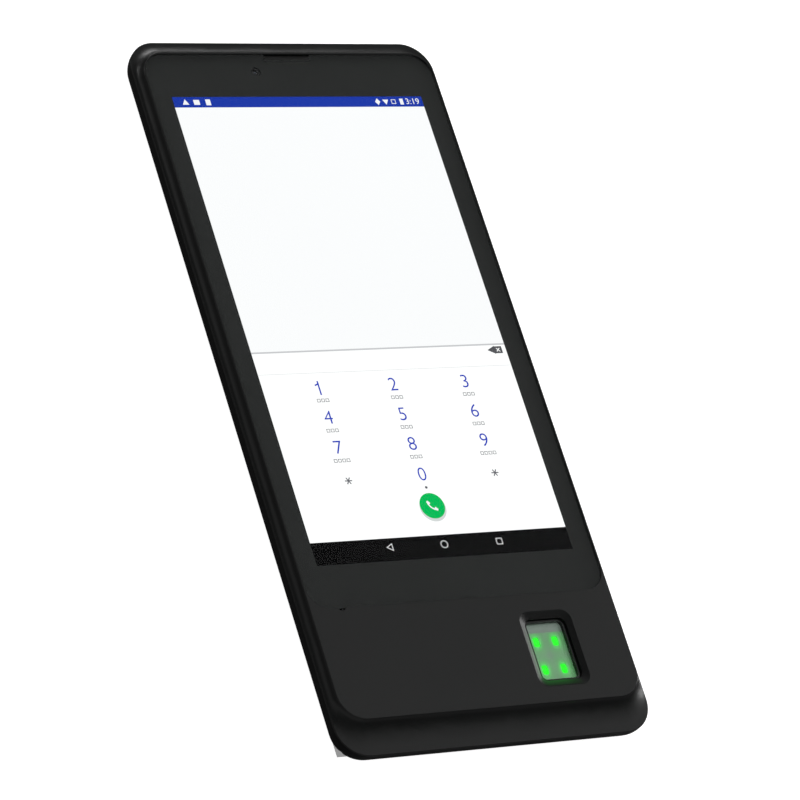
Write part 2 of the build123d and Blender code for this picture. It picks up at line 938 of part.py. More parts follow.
# ------------------------------------------------------------------ boards
def main_board():
    column = span(
        board_left, board_left + board_column_width, board_foot, board_top - board_top_length / 2,
        board_under_z, board_top_z,
    )
    head = span(
        -board_top_width / 2, board_top_width / 2, board_top - board_top_length, board_top,
        board_under_z, board_top_z,
    )
    board = column + head
    for x, y in board_screw_places:
        board -= disc(board_screw_radius + board_screw_clearance, board_under_z, board_top_z, x, y)
    camera_cutout = rear_camera_body + 2 * rear_camera_cutout_gap
    board -= block(camera_cutout, camera_cutout, board_under_z, board_top_z, rear_camera_x, rear_camera_y)
    audio_half = audio_body_width / 2 + part_gap
    board -= span(
        audio_x - audio_half, audio_x + audio_half, audio_face_y - audio_depth - part_gap, board_top,
        board_under_z, board_top_z,
    )
    usb_half = usb_width / 2 + part_gap
    board -= span(
        usb_x - usb_half, usb_x + usb_half, half_length - usb_mouth_sink - usb_depth - part_gap, board_top,
        board_under_z, board_top_z,
    )
    for x, y in screw_places:
        board -= disc(boss_radius + part_gap, board_under_z, board_top_z, x, y)
    return board


def shield(width, length, x, y):
    """A pressed tin can over chips on the underside of the board."""
    z_low = board_under_z - shield_height
    can = block(width, length, z_low, board_under_z, x, y, shield_corner_radius)
    return can - block(
        width - 2 * shield_wall, length - 2 * shield_wall, z_low + shield_wall, board_under_z,
        x, y, shield_corner_radius - shield_wall,
    )


def chip(width, x, y):
    """A square chip soldered under the board."""
    return block(width, width, board_under_z - chip_height, board_under_z, x, y)


def board_connectors():
    """Sockets on top of the main board for the display, the front camera and the keys."""
    z = (board_top_z, board_top_z + connector_height)
    display = block(
        display_flex_width + 2 * display_connector_margin, connector_length, *z,
        board_left + board_column_width / 2, board_foot + display_flex_reach - connector_length / 2,
    )
    camera = block(
        camera_connector_width, connector_length, *z,
        camera_x - camera_connector_shift, board_top - camera_connector_below_top,
    )
    keys = block(
        key_connector_width, connector_length, *z,
        key_connector_x, board_top - board_top_length + key_connector_above_edge,
    )
    return group([display, camera, keys])


def lower_board():
    board = span(
        lower_board_left, lower_board_right, lower_board_top - lower_board_length, lower_board_top,
        board_under_z, board_top_z,
    )
    return board - disc(mic_hole_radius, board_under_z, board_top_z, mic_port_x, mic_hole_y)


def microphone():
    return block(
        microphone_width, microphone_length, board_under_z - microphone_height, board_under_z,
        mic_port_x, mic_hole_y, microphone_corner_radius,
    )


def microphone_tube():
    """Rubber tube that joins the port in the deck to the microphone's hole."""
    tube = disc(microphone_tube_radius, board_top_z, plate_under_z, mic_port_x, mic_hole_y)
    return tube - disc(mic_hole_radius, board_top_z, plate_under_z, mic_port_x, mic_hole_y)


def link_flex():
    """Flat cable that joins the two boards, lying on both."""
    z_low = board_top_z
    return span(
        link_x - link_width / 2, link_x + link_width / 2, lower_board_top - link_overlap,
        board_foot + link_overlap, z_low, z_low + flex_thickness,
    )


def vibration_motor():
    x = lower_board_right - motor_radius - motor_from_board_edge
    can = disc(motor_radius, board_under_z - motor_thickness, board_under_z, x, lower_board_y)
    return chamfer(can.edges().group_by(Axis.Z)[0], motor_chamfer)


# ------------------------------------------------------------------ battery and sound
battery_z = rear_floor + part_gap


def battery_pack():
    cell = block(
        battery_width, battery_length - battery_head_length, battery_z, battery_z + battery_thickness,
        battery_x, battery_y - battery_head_length / 2, battery_corner_radius,
    )
    cell = fillet(cell.edges().group_by(Axis.Z)[-1], battery_edge_radius)
    head = block(
        battery_width - 2 * battery_head_inset, battery_head_length,
        battery_z + battery_head_step, battery_z + battery_thickness - battery_head_step,
        battery_x, battery_top - battery_head_length / 2,
    )
    return cell + head


def battery_lead():
    """The battery's strip and its plug, which reaches up to the underside of the main board."""
    z_low = battery_z + battery_thickness - lead_below_battery_top
    z_plug = z_low + flex_thickness
    end = board_top - board_top_length + lead_reach
    tail = span(lead_x - lead_width / 2, lead_x + lead_width / 2, battery_top, end, z_low, z_plug)
    plug = span(
        lead_x - lead_plug_width / 2, lead_x + lead_plug_width / 2, end - lead_plug_length, end,
        z_plug, board_under_z,
    )
    return tail + plug


def loudspeaker_box():
    z_low = rear_floor + part_gap
    box = block(
        speaker_width, speaker_length, z_low, z_low + speaker_height,
        speaker_x, speaker_y, speaker_corner_radius,
    )
    return box - block(
        speaker_width - 2 * speaker_mouth_side, speaker_length - 2 * speaker_mouth_end,
        z_low, z_low + speaker_mouth_depth, speaker_x, speaker_y, speaker_mouth_radius,
    )


def loudspeaker_cone():
    z_high = rear_floor + part_gap + speaker_mouth_depth
    return block(
        speaker_width - 2 * (speaker_mouth_side + speaker_cone_gap),
        speaker_length - 2 * (speaker_mouth_end + speaker_cone_gap),
        z_high - speaker_cone_thickness, z_high, speaker_x, speaker_y,
        speaker_mouth_radius - speaker_cone_gap,
    )


def loudspeaker_mesh():
    wide = grille_pitch * grille_slots
    return block(
        wide, grille_slot_length + 2 * speaker_mesh_margin, rear_floor, rear_floor + speaker_mesh_thickness,
        speaker_x, speaker_y, speaker_mesh_radius,
    )


# ------------------------------------------------------------------ sockets in the top wall
def wall_plug(width, height, x, z, radius, depth):
    """A rounded bar along Y, for sockets and their openings; its outer end is past the top wall."""
    outline = Plane(origin=(x, half_length, z), z_dir=(0, -1, 0), x_dir=(1, 0, 0)) * RectangleRounded(
        width, height, radius
    )
    return extrude(outline, amount=depth)


def usb_opening():
    grow = 2 * socket_clearance
    return wall_plug(
        usb_width + grow, usb_height + grow, usb_x, usb_z, usb_height / 2, wall_opening_depth
    )


def usb_socket():
    half = usb_height / 2 - round_end_limit
    outside = wall_plug(usb_width, usb_height, usb_x, usb_z, half, usb_mouth_sink + usb_depth)
    inside = wall_plug(
        usb_width - 2 * usb_wall, usb_height - 2 * usb_wall, usb_x, usb_z, half - usb_wall,
        usb_mouth_sink + usb_depth - usb_back_wall,
    )
    past_face = wall_plug(2 * usb_width, 2 * usb_width, usb_x, usb_z, half, usb_mouth_sink)
    tongue = wall_plug(
        usb_tongue_width, usb_tongue_height, usb_x, usb_z, usb_tongue_corner_radius,
        usb_mouth_sink + usb_depth,
    )
    tongue -= wall_plug(2 * usb_width, 2 * usb_width, usb_x, usb_z, half, usb_mouth_sink + usb_tongue_sink)
    return (outside - inside - past_face) + tongue


def audio_bar(radius, depth):
    """A round bar along Y through the top wall, on the audio socket's axis."""
    outline = Plane(origin=(audio_x, half_length, audio_z), z_dir=(0, -1, 0)) * Circle(radius)
    return extrude(outline, amount=depth)


def audio_opening():
    return audio_bar(audio_bore_radius + socket_clearance + audio_opening_gap, wall_opening_depth)


def audio_socket():
    body = span(
        audio_x - audio_body_width / 2, audio_x + audio_body_width / 2,
        audio_face_y - audio_depth, audio_face_y,
        audio_z - audio_body_height / 2, audio_z + audio_body_height / 2,
    )
    nose = audio_bar(audio_bore_radius + socket_clearance, audio_depth / 2) - audio_bar(
        3 * audio_bore_radius, audio_mouth_sink
    )
    return body + nose - audio_bar(audio_bore_radius, audio_depth)


# ------------------------------------------------------------------ rear camera and flash
def rear_camera_ring():
    outer = disc(rear_ring_radius, 0.0, rear_floor, rear_camera_x, rear_camera_y)
    outer = chamfer(outer.edges().group_by(Axis.Z)[0], rear_ring_chamfer)
    return outer - disc(rear_window_radius + running_gap, 0.0, rear_floor, rear_camera_x, rear_camera_y)


def rear_camera_window():
    return disc(
        rear_window_radius, rear_window_sink, rear_window_sink + rear_window_thickness,
        rear_camera_x, rear_camera_y,
    )


rear_barrel_z = rear_window_sink + rear_window_thickness + part_gap


def rear_camera_module():
    housing = block(
        rear_camera_body, rear_camera_body, rear_floor + part_gap, rear_barrel_z + rear_camera_height,
        rear_camera_x, rear_camera_y, rear_camera_corner_radius,
    )
    barrel = disc(
        rear_window_radius - rear_barrel_inset, rear_barrel_z, rear_floor + rear_barrel_overlap,
        rear_camera_x, rear_camera_y,
    )
    bore = disc(
        rear_bore_radius, rear_barrel_z, rear_barrel_z + rear_bore_depth, rear_camera_x, rear_camera_y
    )
    return housing + barrel - bore


def rear_camera_lens():
    centre_z = rear_barrel_z + rear_lens_rise + rear_lens_curve
    dome = Pos(rear_camera_x, rear_camera_y, centre_z) * Sphere(rear_lens_curve)
    return dome & disc(
        rear_bore_radius - rear_lens_gap, rear_barrel_z, rear_barrel_z + rear_bore_depth - rear_lens_gap,
        rear_camera_x, rear_camera_y,
    )


def flash_light_guide():
    return disc(
        flash_radius, rear_window_sink, board_under_z - flash_lamp_height - stack_gap,
        rear_camera_x, rear_camera_y - flash_offset,
    )


def flash_lamp():
    return block(
        flash_lamp_width, flash_lamp_width, board_under_z - flash_lamp_height, board_under_z,
        rear_camera_x, rear_camera_y - flash_offset,
    )


# ------------------------------------------------------------------ card tray
card_face_length = card_tray_width + 2 * card_face_lip
card_face_back_x = -inner_wall_x(card_plane_z) + card_face_past_wall
card_seat_x = card_face_back_x + card_tray_depth / 2 + card_seat_shift
card_seat_z = card_plane_z - card_tray_thickness / 2 + card_seat_floor


def card_opening(grow):
    """The room that the tray's face takes in the left wall."""
    return span(
        -half_width, -inner_wall_x(card_plane_z) + rear_wall,
        card_y - card_face_length / 2 - grow, card_y + card_face_length / 2 + grow,
        card_plane_z - card_face_height / 2 - grow, card_plane_z + card_face_height / 2 + grow,
    )


def card_tray():
    """The tray: its face in the wall, and the sheet behind it with a seat for one card."""
    face = card_opening(0.0) & body_outer()
    face &= span(-half_width, card_face_back_x, -half_length, half_length, 0.0, parting_z)
    sheet_z = (card_plane_z - card_tray_thickness / 2, card_plane_z + card_tray_thickness / 2)
    sheet = span(
        card_face_back_x - rear_wall / 2, card_face_back_x + card_tray_depth,
        card_y - card_tray_width / 2, card_y + card_tray_width / 2, *sheet_z,
    )
    seat = block(
        card_length + 2 * card_sheet_fit, card_width + 2 * card_sheet_fit,
        card_seat_z, sheet_z[1], card_seat_x, card_y,
    )
    window = block(
        card_length - 2 * card_ledge_end, card_width - 2 * card_ledge_side, *sheet_z, card_seat_x, card_y
    )
    pin_y = card_y - card_face_length / 2 + pin_hole_from_end
    pin = Plane(origin=(-half_width, pin_y, card_plane_z), z_dir=(1, 0, 0)) * Circle(pin_hole_radius)
    return face + sheet - seat - window - extrude(pin, amount=pin_hole_depth)


def sim_card():
    """The card, with its one cut corner."""
    card = block(
        card_length, card_width, card_seat_z, card_seat_z + card_thickness, card_seat_x, card_y
    )
    corners = card.edges().filter_by(Axis.Z)
    return chamfer(corners.sort_by(lambda edge: edge.center().X + edge.center().Y)[-1], card_corner_cut)


def card_socket():
    """Folded metal shell under the board that guides the tray."""
    x_low = card_face_back_x + part_gap + card_socket_rail
    x_high = x_low + card_tray_depth + card_socket_rail
    z_low = card_plane_z - card_tray_thickness / 2 - part_gap - shield_wall
    half = card_tray_width / 2 + card_socket_rail
    shell = span(x_low, x_high, card_y - half, card_y + half, z_low, board_under_z)
    inside = span(
        x_low, x_high, card_y - card_tray_width / 2 - part_gap, card_y + card_tray_width / 2 + part_gap,
        z_low + shield_wall, board_under_z,
    )
    return shell - inside


# ------------------------------------------------------------------ keys
key_face_x = half_width - key_face_inset
key_inside_x = inner_wall_x(key_z - key_height / 2 - key_flange_lip) - key_inside_gap
key_back_x = key_inside_x - key_flange_thickness


def key_cap(y, length):
    """A key: the bar that shows, and the flange behind the wall that keeps it in."""
    bar = span(
        key_back_x, key_face_x, y - length / 2, y + length / 2,
        key_z - key_height / 2, key_z + key_height / 2,
    )
    bar = fillet(bar.faces().sort_by(Axis.X)[-1].edges(), key_round)
    flange = span(
        key_back_x, key_inside_x,
        y - length / 2 - key_flange, y + length / 2 + key_flange,
        key_z - key_height / 2 - key_flange_lip, key_z + key_height / 2 + key_flange_lip,
    )
    return bar + flange


def volume_rocker():
    """The long key, which rocks on a round bar behind its middle."""
    pivot = disc(
        rocker_pivot_radius, key_z - key_height / 2, key_z + key_height / 2, key_back_x, volume_y
    )
    return key_cap(volume_y, volume_length) + pivot


key_board_face_x = key_back_x - dome_gap - dome_height
rocker_dome_reach = volume_length / 2 - dome_from_key_end
dome_places = [power_y, volume_y - rocker_dome_reach, volume_y + rocker_dome_reach]


def key_domes():
    domes = []
    for y in dome_places:
        seat = Plane(origin=(key_board_face_x, y, key_z), z_dir=(1, 0, 0))
        dome = extrude(seat * Circle(dome_radius), amount=dome_height)
        domes.append(fillet(dome.edges().sort_by(Axis.X)[-1:], dome_height / 2))
    return group(domes)


def key_board():
    return span(
        key_board_face_x - key_board_thickness, key_board_face_x,
        power_y - power_length / 2, volume_y + volume_length / 2,
        key_z - dome_radius - key_board_margin, key_z + dome_radius,
    )


# ------------------------------------------------------------------ antennas and screws
def antenna_strips():
    """Two printed strips on the inside of the back, one near each end."""
    z = (rear_floor, rear_floor + flex_thickness)
    end = half_length - rear_wall - back_radius
    return group([
        block(
            upper_antenna_width, upper_antenna_length, *z,
            upper_antenna_x, end - upper_antenna_gap, antenna_corner_radius,
        ),
        block(
            lower_antenna_width, lower_antenna_length, *z,
            lower_antenna_x, lower_antenna_gap - end, antenna_corner_radius,
        ),
    ])


def case_screws():
    screws = []
    for x, y in screw_places:
        head = disc(screw_head_radius, screw_head_sink, screw_head_top_z, x, y)
        head = chamfer(head.edges().group_by(Axis.Z)[0], screw_head_chamfer)
        screw = head + disc(screw_radius, screw_head_top_z, screw_tip_z, x, y)
        cross = (screw_head_sink, screw_head_sink + screw_cross_depth, x, y)
        screw -= block(screw_cross_width, screw_cross_length, *cross)
        screw -= block(screw_cross_length, screw_cross_width, *cross)
        screws.append(screw)
    return group(screws)


# ------------------------------------------------------------------ write every piece
save("front_housing", front_housing())
save("rear_housing", rear_housing())
save("cover_glass", cover_glass())
save("ink_border", ink_border())
save("glass_tape", glass_tape())
save(
    "lcd_cell",
    block(panel_width, panel_length, cell_under_z, cell_top_z, y=active_y, radius=panel_corner_radius),
)
save("backlight_tray", backlight_unit())
save("backlight_sheets", backlight_sheets())
save("display_tray", display_tray())
save("display_flex", display_flex())
save("touch_flex", touch_flex())
save("front_camera", front_camera())
save("front_camera_lens", front_camera_lens())
save("earpiece_mesh", earpiece_mesh())
save("earpiece_receiver", earpiece_receiver())
save("fingerprint_bezel", fingerprint_bezel())
save("fingerprint_glass", fingerprint_glass())
save("fingerprint_gasket", fingerprint_gasket())
save("fingerprint_light_plate", fingerprint_light_plate())
save("fingerprint_lamps", fingerprint_lamps())
save("fingerprint_board", fingerprint_board())
save("fingerprint_processor", fingerprint_processor())
save("fingerprint_holder", fingerprint_holder())
save("fingerprint_bracket", fingerprint_bracket())
save("fingerprint_flex", fingerprint_flex())
save("main_board", main_board())
save("processor_shield", shield(processor_shield_width, processor_shield_length, processor_x, chips_y))
save("radio_shield", shield(radio_shield_width, radio_shield_length, radio_x, chips_y))
save("processor_chip", chip(processor_chip_width, processor_x, chips_y))
save("radio_chip", chip(radio_chip_width, radio_x, chips_y))
save("board_connectors", board_connectors())
save("board_screws", board_screws())
save("lower_board", lower_board())
save("microphone", microphone())
save("microphone_tube", microphone_tube())
save("link_flex", link_flex())
save("vibration_motor", vibration_motor())
save("battery_pack", battery_pack())
save("battery_lead", battery_lead())
save("loudspeaker_box", loudspeaker_box())
save("loudspeaker_cone", loudspeaker_cone())
save("loudspeaker_mesh", loudspeaker_mesh())
save("usb_socket", usb_socket())
save("audio_socket", audio_socket())
save("rear_camera_ring", rear_camera_ring())
save("rear_camera_window", rear_camera_window())
save("rear_camera_module", rear_camera_module())
save("rear_camera_lens", rear_camera_lens())
save("flash_light_guide", flash_light_guide())
save("flash_lamp", flash_lamp())
save("card_tray", card_tray())
save("sim_card", sim_card())
save("card_socket", card_socket())
save("power_key", key_cap(power_y, power_length))
save("volume_rocker", volume_rocker())
save("key_domes", key_domes())
save("key_board", key_board())
save("antenna_strips", antenna_strips())
save("case_screws", case_screws())
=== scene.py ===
# %% [markdown]
# # A hand-held fingerprint scanner terminal
# The terminal is a flat black slate: a lit screen under glass, a plain deck below it with a small
# recessed window for a fingertip, and a hollow-curved skirt that runs out to a wider rim.
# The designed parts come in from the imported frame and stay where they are. What this file adds is
# how they look: materials, the picture on the screen, the glow in the scanner, and smooth shading.

# %% Start
import bmesh
import bpy
import json
import math
from mathutils import Matrix, Vector

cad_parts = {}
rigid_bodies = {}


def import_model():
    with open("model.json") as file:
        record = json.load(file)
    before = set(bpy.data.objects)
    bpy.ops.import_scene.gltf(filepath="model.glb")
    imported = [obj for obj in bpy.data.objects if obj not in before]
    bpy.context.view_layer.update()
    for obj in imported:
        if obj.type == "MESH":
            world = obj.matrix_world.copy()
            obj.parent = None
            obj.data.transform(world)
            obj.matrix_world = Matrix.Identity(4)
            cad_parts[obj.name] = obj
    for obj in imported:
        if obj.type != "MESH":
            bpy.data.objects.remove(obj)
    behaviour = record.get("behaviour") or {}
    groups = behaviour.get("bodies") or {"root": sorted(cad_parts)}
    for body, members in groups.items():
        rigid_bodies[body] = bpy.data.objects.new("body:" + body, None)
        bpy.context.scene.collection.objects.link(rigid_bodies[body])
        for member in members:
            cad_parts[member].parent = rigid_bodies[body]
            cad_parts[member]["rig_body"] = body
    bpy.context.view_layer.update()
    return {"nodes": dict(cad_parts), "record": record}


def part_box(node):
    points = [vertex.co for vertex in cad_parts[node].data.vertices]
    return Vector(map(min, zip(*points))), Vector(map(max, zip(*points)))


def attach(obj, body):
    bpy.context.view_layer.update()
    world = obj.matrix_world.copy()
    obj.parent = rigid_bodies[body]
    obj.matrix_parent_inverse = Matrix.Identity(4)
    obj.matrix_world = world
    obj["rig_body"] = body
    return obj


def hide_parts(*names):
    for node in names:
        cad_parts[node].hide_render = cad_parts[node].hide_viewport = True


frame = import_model()

# %% [markdown]
# ## Units
# Blender works in metres here. The sizes of a hand-held device are easier to read in millimetres,
# so one small helper turns millimetres into metres, and every size below goes through it.

# %% Units and the screen's place
MM = 0.001


def mm(value):
    """Millimetres to metres."""
    return value * MM


low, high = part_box("lcd_cell")
screen_centre = (low + high) / 2
screen_face = high.z
active_width = mm(85.92)
active_length = mm(154.21)
deck_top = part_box("front_housing")[1].z
print("screen face at", round(screen_face, 5), "deck at", round(deck_top, 5))

# %% [markdown]
# ## Camera
# A long lens from the lower left, about a metre and a quarter away, keeps the slate's long edges
# almost parallel. The camera is rolled so that the screen's upper edge lies level in the picture,
# as when the slate leans back. Placing it by azimuth, elevation, distance and roll says the same
# thing as a matrix would, but each number can be read.

# %% Camera
camera_azimuth = math.radians(-53.07)
camera_elevation = math.radians(48.966)
camera_distance = 1.26259
camera_roll = math.radians(42.509)
camera_lens = 197.34
camera_aim = Vector((mm(0.556), mm(-7.936), deck_top))


def place_camera():
    """Adds the scene's camera, aimed at the deck from the lower left."""
    back = Vector((
        math.sin(camera_azimuth) * math.cos(camera_elevation),
        -math.cos(camera_azimuth) * math.cos(camera_elevation),
        math.sin(camera_elevation),
    ))
    upright = back.to_track_quat("Z", "Y")
    data = bpy.data.cameras.new("camera")
    data.lens = camera_lens
    data.sensor_width = 36.0
    data.clip_start = 0.05
    data.clip_end = 20.0
    camera = bpy.data.objects.new("camera", data)
    camera.matrix_world = (
        Matrix.Translation(camera_aim + back * camera_distance)
        @ upright.to_matrix().to_4x4()
        @ Matrix.Rotation(camera_roll, 4, "Z")
    )
    bpy.context.scene.collection.objects.link(camera)
    bpy.context.scene.camera = camera
    return camera


camera = place_camera()
print("camera at", [round(v, 4) for v in camera.matrix_world.translation])

# %% [markdown]
# ## Colour
# The plain view transform shows a white screen as white and a black moulding as black, with no
# film curve in between, which suits a plain studio picture of a dark object.

# %% Colour handling
view = bpy.context.scene.view_settings
view.view_transform = "Standard"
view.look = "None"

# %% [markdown]
# ## Node helpers
# A material is a small graph. These helpers add a node, set its values and join sockets, so that
# each material below reads as a short list of what feeds what.


# %% Node helpers
finishes = {}


def add_node(tree, kind, **values):
    """Adds a node of a kind, and sets the named inputs or properties."""
    node = tree.nodes.new(kind)
    for key, value in values.items():
        if key in node.inputs:
            node.inputs[key].default_value = value
        else:
            setattr(node, key, value)
    return node


def new_material(name):
    """An empty material with a Principled shader joined to its output, kept under its plain name."""
    material = bpy.data.materials.new(name)
    finishes[name] = material
    material.use_nodes = True
    tree = material.node_tree
    tree.nodes.clear()
    output = add_node(tree, "ShaderNodeOutputMaterial")
    shader = add_node(tree, "ShaderNodeBsdfPrincipled")
    tree.links.new(shader.outputs["BSDF"], output.inputs["Surface"])
    return material, tree, shader


def object_place(tree):
    """The place on the object, in metres, which stays put when the camera moves."""
    return add_node(tree, "ShaderNodeTexCoord").outputs["Object"]


def object_from(name, bm, material):
    """Turns a finished bmesh into an object in the scene, with one material."""
    mesh = bpy.data.meshes.new(name)
    bm.to_mesh(mesh)
    bm.free()
    mesh.materials.append(material)
    piece = bpy.data.objects.new(name, mesh)
    bpy.context.scene.collection.objects.link(piece)
    return piece


def ramp_node(tree, stops):
    """A colour ramp with the given (position, colour) stops."""
    node = add_node(tree, "ShaderNodeValToRGB")
    while len(node.color_ramp.elements) < len(stops):
        node.color_ramp.elements.new(0.5)
    for element, (position, colour) in zip(node.color_ramp.elements, stops):
        element.position = position
        element.color = (*colour, 1.0)
    return node


# %% [markdown]
# ## Moulded grain
# Injection-moulded black plastic is never a flat black. The mould is spark-eroded, which leaves a
# fine even grain; the surface is a touch lighter and differs in gloss in random patches where it
# has been handled.
# The same three effects are wanted on several plastics, so they are one node group with its own
# sliders. It puts out a colour, a roughness and a normal, and the shader stays in the material.


# %% Moulded grain group
def build_grain_group():
    """Grain, handling marks and a little wear, for any moulded plastic."""
    group = bpy.data.node_groups.new("moulded_grain", "ShaderNodeTree")
    face = group.interface
    face.new_socket("Colour", in_out="INPUT", socket_type="NodeSocketColor")
    face.new_socket("Handled Colour", in_out="INPUT", socket_type="NodeSocketColor")
    face.new_socket("Roughness", in_out="INPUT", socket_type="NodeSocketFloat")
    face.new_socket("Roughness Spread", in_out="INPUT", socket_type="NodeSocketFloat")
    face.new_socket("Grain Scale", in_out="INPUT", socket_type="NodeSocketFloat")
    face.new_socket("Grain Depth", in_out="INPUT", socket_type="NodeSocketFloat")
    face.new_socket("Colour", in_out="OUTPUT", socket_type="NodeSocketColor")
    face.new_socket("Roughness", in_out="OUTPUT", socket_type="NodeSocketFloat")
    face.new_socket("Normal", in_out="OUTPUT", socket_type="NodeSocketVector")
    given = add_node(group, "NodeGroupInput")
    result = add_node(group, "NodeGroupOutput")
    place = object_place(group)
    link = group.links.new

    handled = add_node(group, "ShaderNodeTexNoise", Scale=38.0, Detail=3.0, Roughness=0.55)
    link(place, handled.inputs["Vector"])
    handled_mask = add_node(group, "ShaderNodeMapRange")
    handled_mask.inputs["From Min"].default_value = 0.42
    handled_mask.inputs["From Max"].default_value = 0.68
    link(handled.outputs["Fac"], handled_mask.inputs["Value"])

    grain = add_node(group, "ShaderNodeTexVoronoi", feature="SMOOTH_F1")
    link(place, grain.inputs["Vector"])
    link(given.outputs["Grain Scale"], grain.inputs["Scale"])
    speck = add_node(group, "ShaderNodeTexNoise", Detail=2.0)
    link(place, speck.inputs["Vector"])
    link(given.outputs["Grain Scale"], speck.inputs["Scale"])

    colour = add_node(group, "ShaderNodeMix", data_type="RGBA")
    link(handled_mask.outputs["Result"], colour.inputs["Factor"])
    link(given.outputs["Colour"], colour.inputs["A"])
    link(given.outputs["Handled Colour"], colour.inputs["B"])
    shade = add_node(group, "ShaderNodeMapRange")
    shade.inputs["To Min"].default_value = 0.86
    shade.inputs["To Max"].default_value = 1.14
    link(speck.outputs["Fac"], shade.inputs["Value"])
    speckled = add_node(group, "ShaderNodeMix", data_type="RGBA", blend_type="MULTIPLY")
    speckled.inputs["Factor"].default_value = 1.0
    link(colour.outputs["Result"], speckled.inputs["A"])
    link(shade.outputs["Result"], speckled.inputs["B"])
    link(speckled.outputs["Result"], result.inputs["Colour"])

    spread = add_node(group, "ShaderNodeMath", operation="MULTIPLY_ADD")
    link(handled_mask.outputs["Result"], spread.inputs[0])
    link(given.outputs["Roughness Spread"], spread.inputs[1])
    link(given.outputs["Roughness"], spread.inputs[2])
    link(spread.outputs[0], result.inputs["Roughness"])

    bump = add_node(group, "ShaderNodeBump", Strength=1.0)
    link(given.outputs["Grain Depth"], bump.inputs["Distance"])
    link(grain.outputs["Distance"], bump.inputs["Height"])
    link(bump.outputs["Normal"], result.inputs["Normal"])
    return group


grain_group = build_grain_group()
print("built group", grain_group.name)


# %% [markdown]
# ## Moulded plastics
# Deck, case, keys and the scanner's inner frame are the same black resin with different polish.
# One function makes them all, and each call gives that part its own colour, gloss and grain.


# %% Moulded plastics
def moulded(name, colour, handled, roughness, spread, grain_scale, grain_depth, specular):
    """Black moulded resin with the grain group."""
    material, tree, shader = new_material(name)
    grain = add_node(tree, "ShaderNodeGroup", node_tree=grain_group)
    grain.inputs["Colour"].default_value = (*colour, 1.0)
    grain.inputs["Handled Colour"].default_value = (*handled, 1.0)
    grain.inputs["Roughness"].default_value = roughness
    grain.inputs["Roughness Spread"].default_value = spread
    grain.inputs["Grain Scale"].default_value = grain_scale
    grain.inputs["Grain Depth"].default_value = grain_depth
    tree.links.new(grain.outputs["Colour"], shader.inputs["Base Color"])
    tree.links.new(grain.outputs["Roughness"], shader.inputs["Roughness"])
    tree.links.new(grain.outputs["Normal"], shader.inputs["Normal"])
    shader.inputs["Specular IOR Level"].default_value = specular
    return material


moulded(
    "deck_plastic", (0.0036, 0.0042, 0.0041), (0.0046, 0.0052, 0.0051), 0.34, 0.05, 3600.0, mm(0.006), 0.52
)
moulded(
    "case_plastic", (0.0024, 0.0027, 0.0027), (0.0032, 0.0035, 0.0035), 0.36, 0.05, 3600.0, mm(0.008), 0.20
)
moulded(
    "key_plastic", (0.0065, 0.0068, 0.0070), (0.0085, 0.0088, 0.0090), 0.34, -0.04, 5200.0, mm(0.003), 0.35
)
moulded(
    "gloss_black", (0.0040, 0.0042, 0.0042), (0.0060, 0.0062, 0.0062), 0.22, 0.05, 5200.0, mm(0.002), 0.45
)
moulded(
    "camera_black", (0.0050, 0.0050, 0.0055), (0.0070, 0.0070, 0.0075), 0.40, 0.0, 6000.0, mm(0.003), 0.35
)
black_ink = moulded(
    "black_ink", (0.094, 0.095, 0.095), (0.100, 0.101, 0.101), 0.50, 0.0, 9000.0, mm(0.0005), 0.10
)
moulded(
    "black_rubber", (0.0060, 0.0060, 0.0060), (0.0080, 0.0080, 0.0080), 0.75, 0.0, 2600.0, mm(0.02), 0.20
)
moulded(
    "black_tape", (0.0090, 0.0090, 0.0092), (0.0120, 0.0120, 0.0122), 0.62, 0.05, 2200.0, mm(0.010), 0.20
)
print("moulded materials:", len(bpy.data.materials))

# %% [markdown]
# ## Finger marks
# Glass on a hand-held device carries faint smears. They do not change its colour, only how sharply
# it mirrors the room. A stretched noise broken up by a larger one gives a believable roughness,
# and it is used on the cover glass, the scanner's glass and the camera windows alike.


# %% Finger marks group
def build_smear_group():
    """A roughness that is low on clean glass and higher where fingers have been."""
    group = bpy.data.node_groups.new("finger_marks", "ShaderNodeTree")
    face = group.interface
    face.new_socket("Clean", in_out="INPUT", socket_type="NodeSocketFloat")
    face.new_socket("Smeared", in_out="INPUT", socket_type="NodeSocketFloat")
    face.new_socket("Size", in_out="INPUT", socket_type="NodeSocketFloat")
    face.new_socket("Roughness", in_out="OUTPUT", socket_type="NodeSocketFloat")
    given = add_node(group, "NodeGroupInput")
    result = add_node(group, "NodeGroupOutput")
    link = group.links.new
    place = object_place(group)
    stretch = add_node(group, "ShaderNodeMapping", Scale=(1.0, 0.35, 1.0), Rotation=(0.0, 0.0, 0.6))
    link(place, stretch.inputs["Vector"])
    streak = add_node(group, "ShaderNodeTexNoise", Detail=5.0, Roughness=0.62)
    link(stretch.outputs["Vector"], streak.inputs["Vector"])
    link(given.outputs["Size"], streak.inputs["Scale"])
    patch = add_node(group, "ShaderNodeTexNoise", Scale=22.0, Detail=2.0)
    link(place, patch.inputs["Vector"])
    both = add_node(group, "ShaderNodeMath", operation="MULTIPLY")
    link(streak.outputs["Fac"], both.inputs[0])
    link(patch.outputs["Fac"], both.inputs[1])
    level = add_node(group, "ShaderNodeMapRange")
    level.inputs["From Min"].default_value = 0.18
    level.inputs["From Max"].default_value = 0.42
    link(both.outputs[0], level.inputs["Value"])
    link(given.outputs["Clean"], level.inputs["To Min"])
    link(given.outputs["Smeared"], level.inputs["To Max"])
    link(level.outputs["Result"], result.inputs["Roughness"])
    return group


smear_group = build_smear_group()


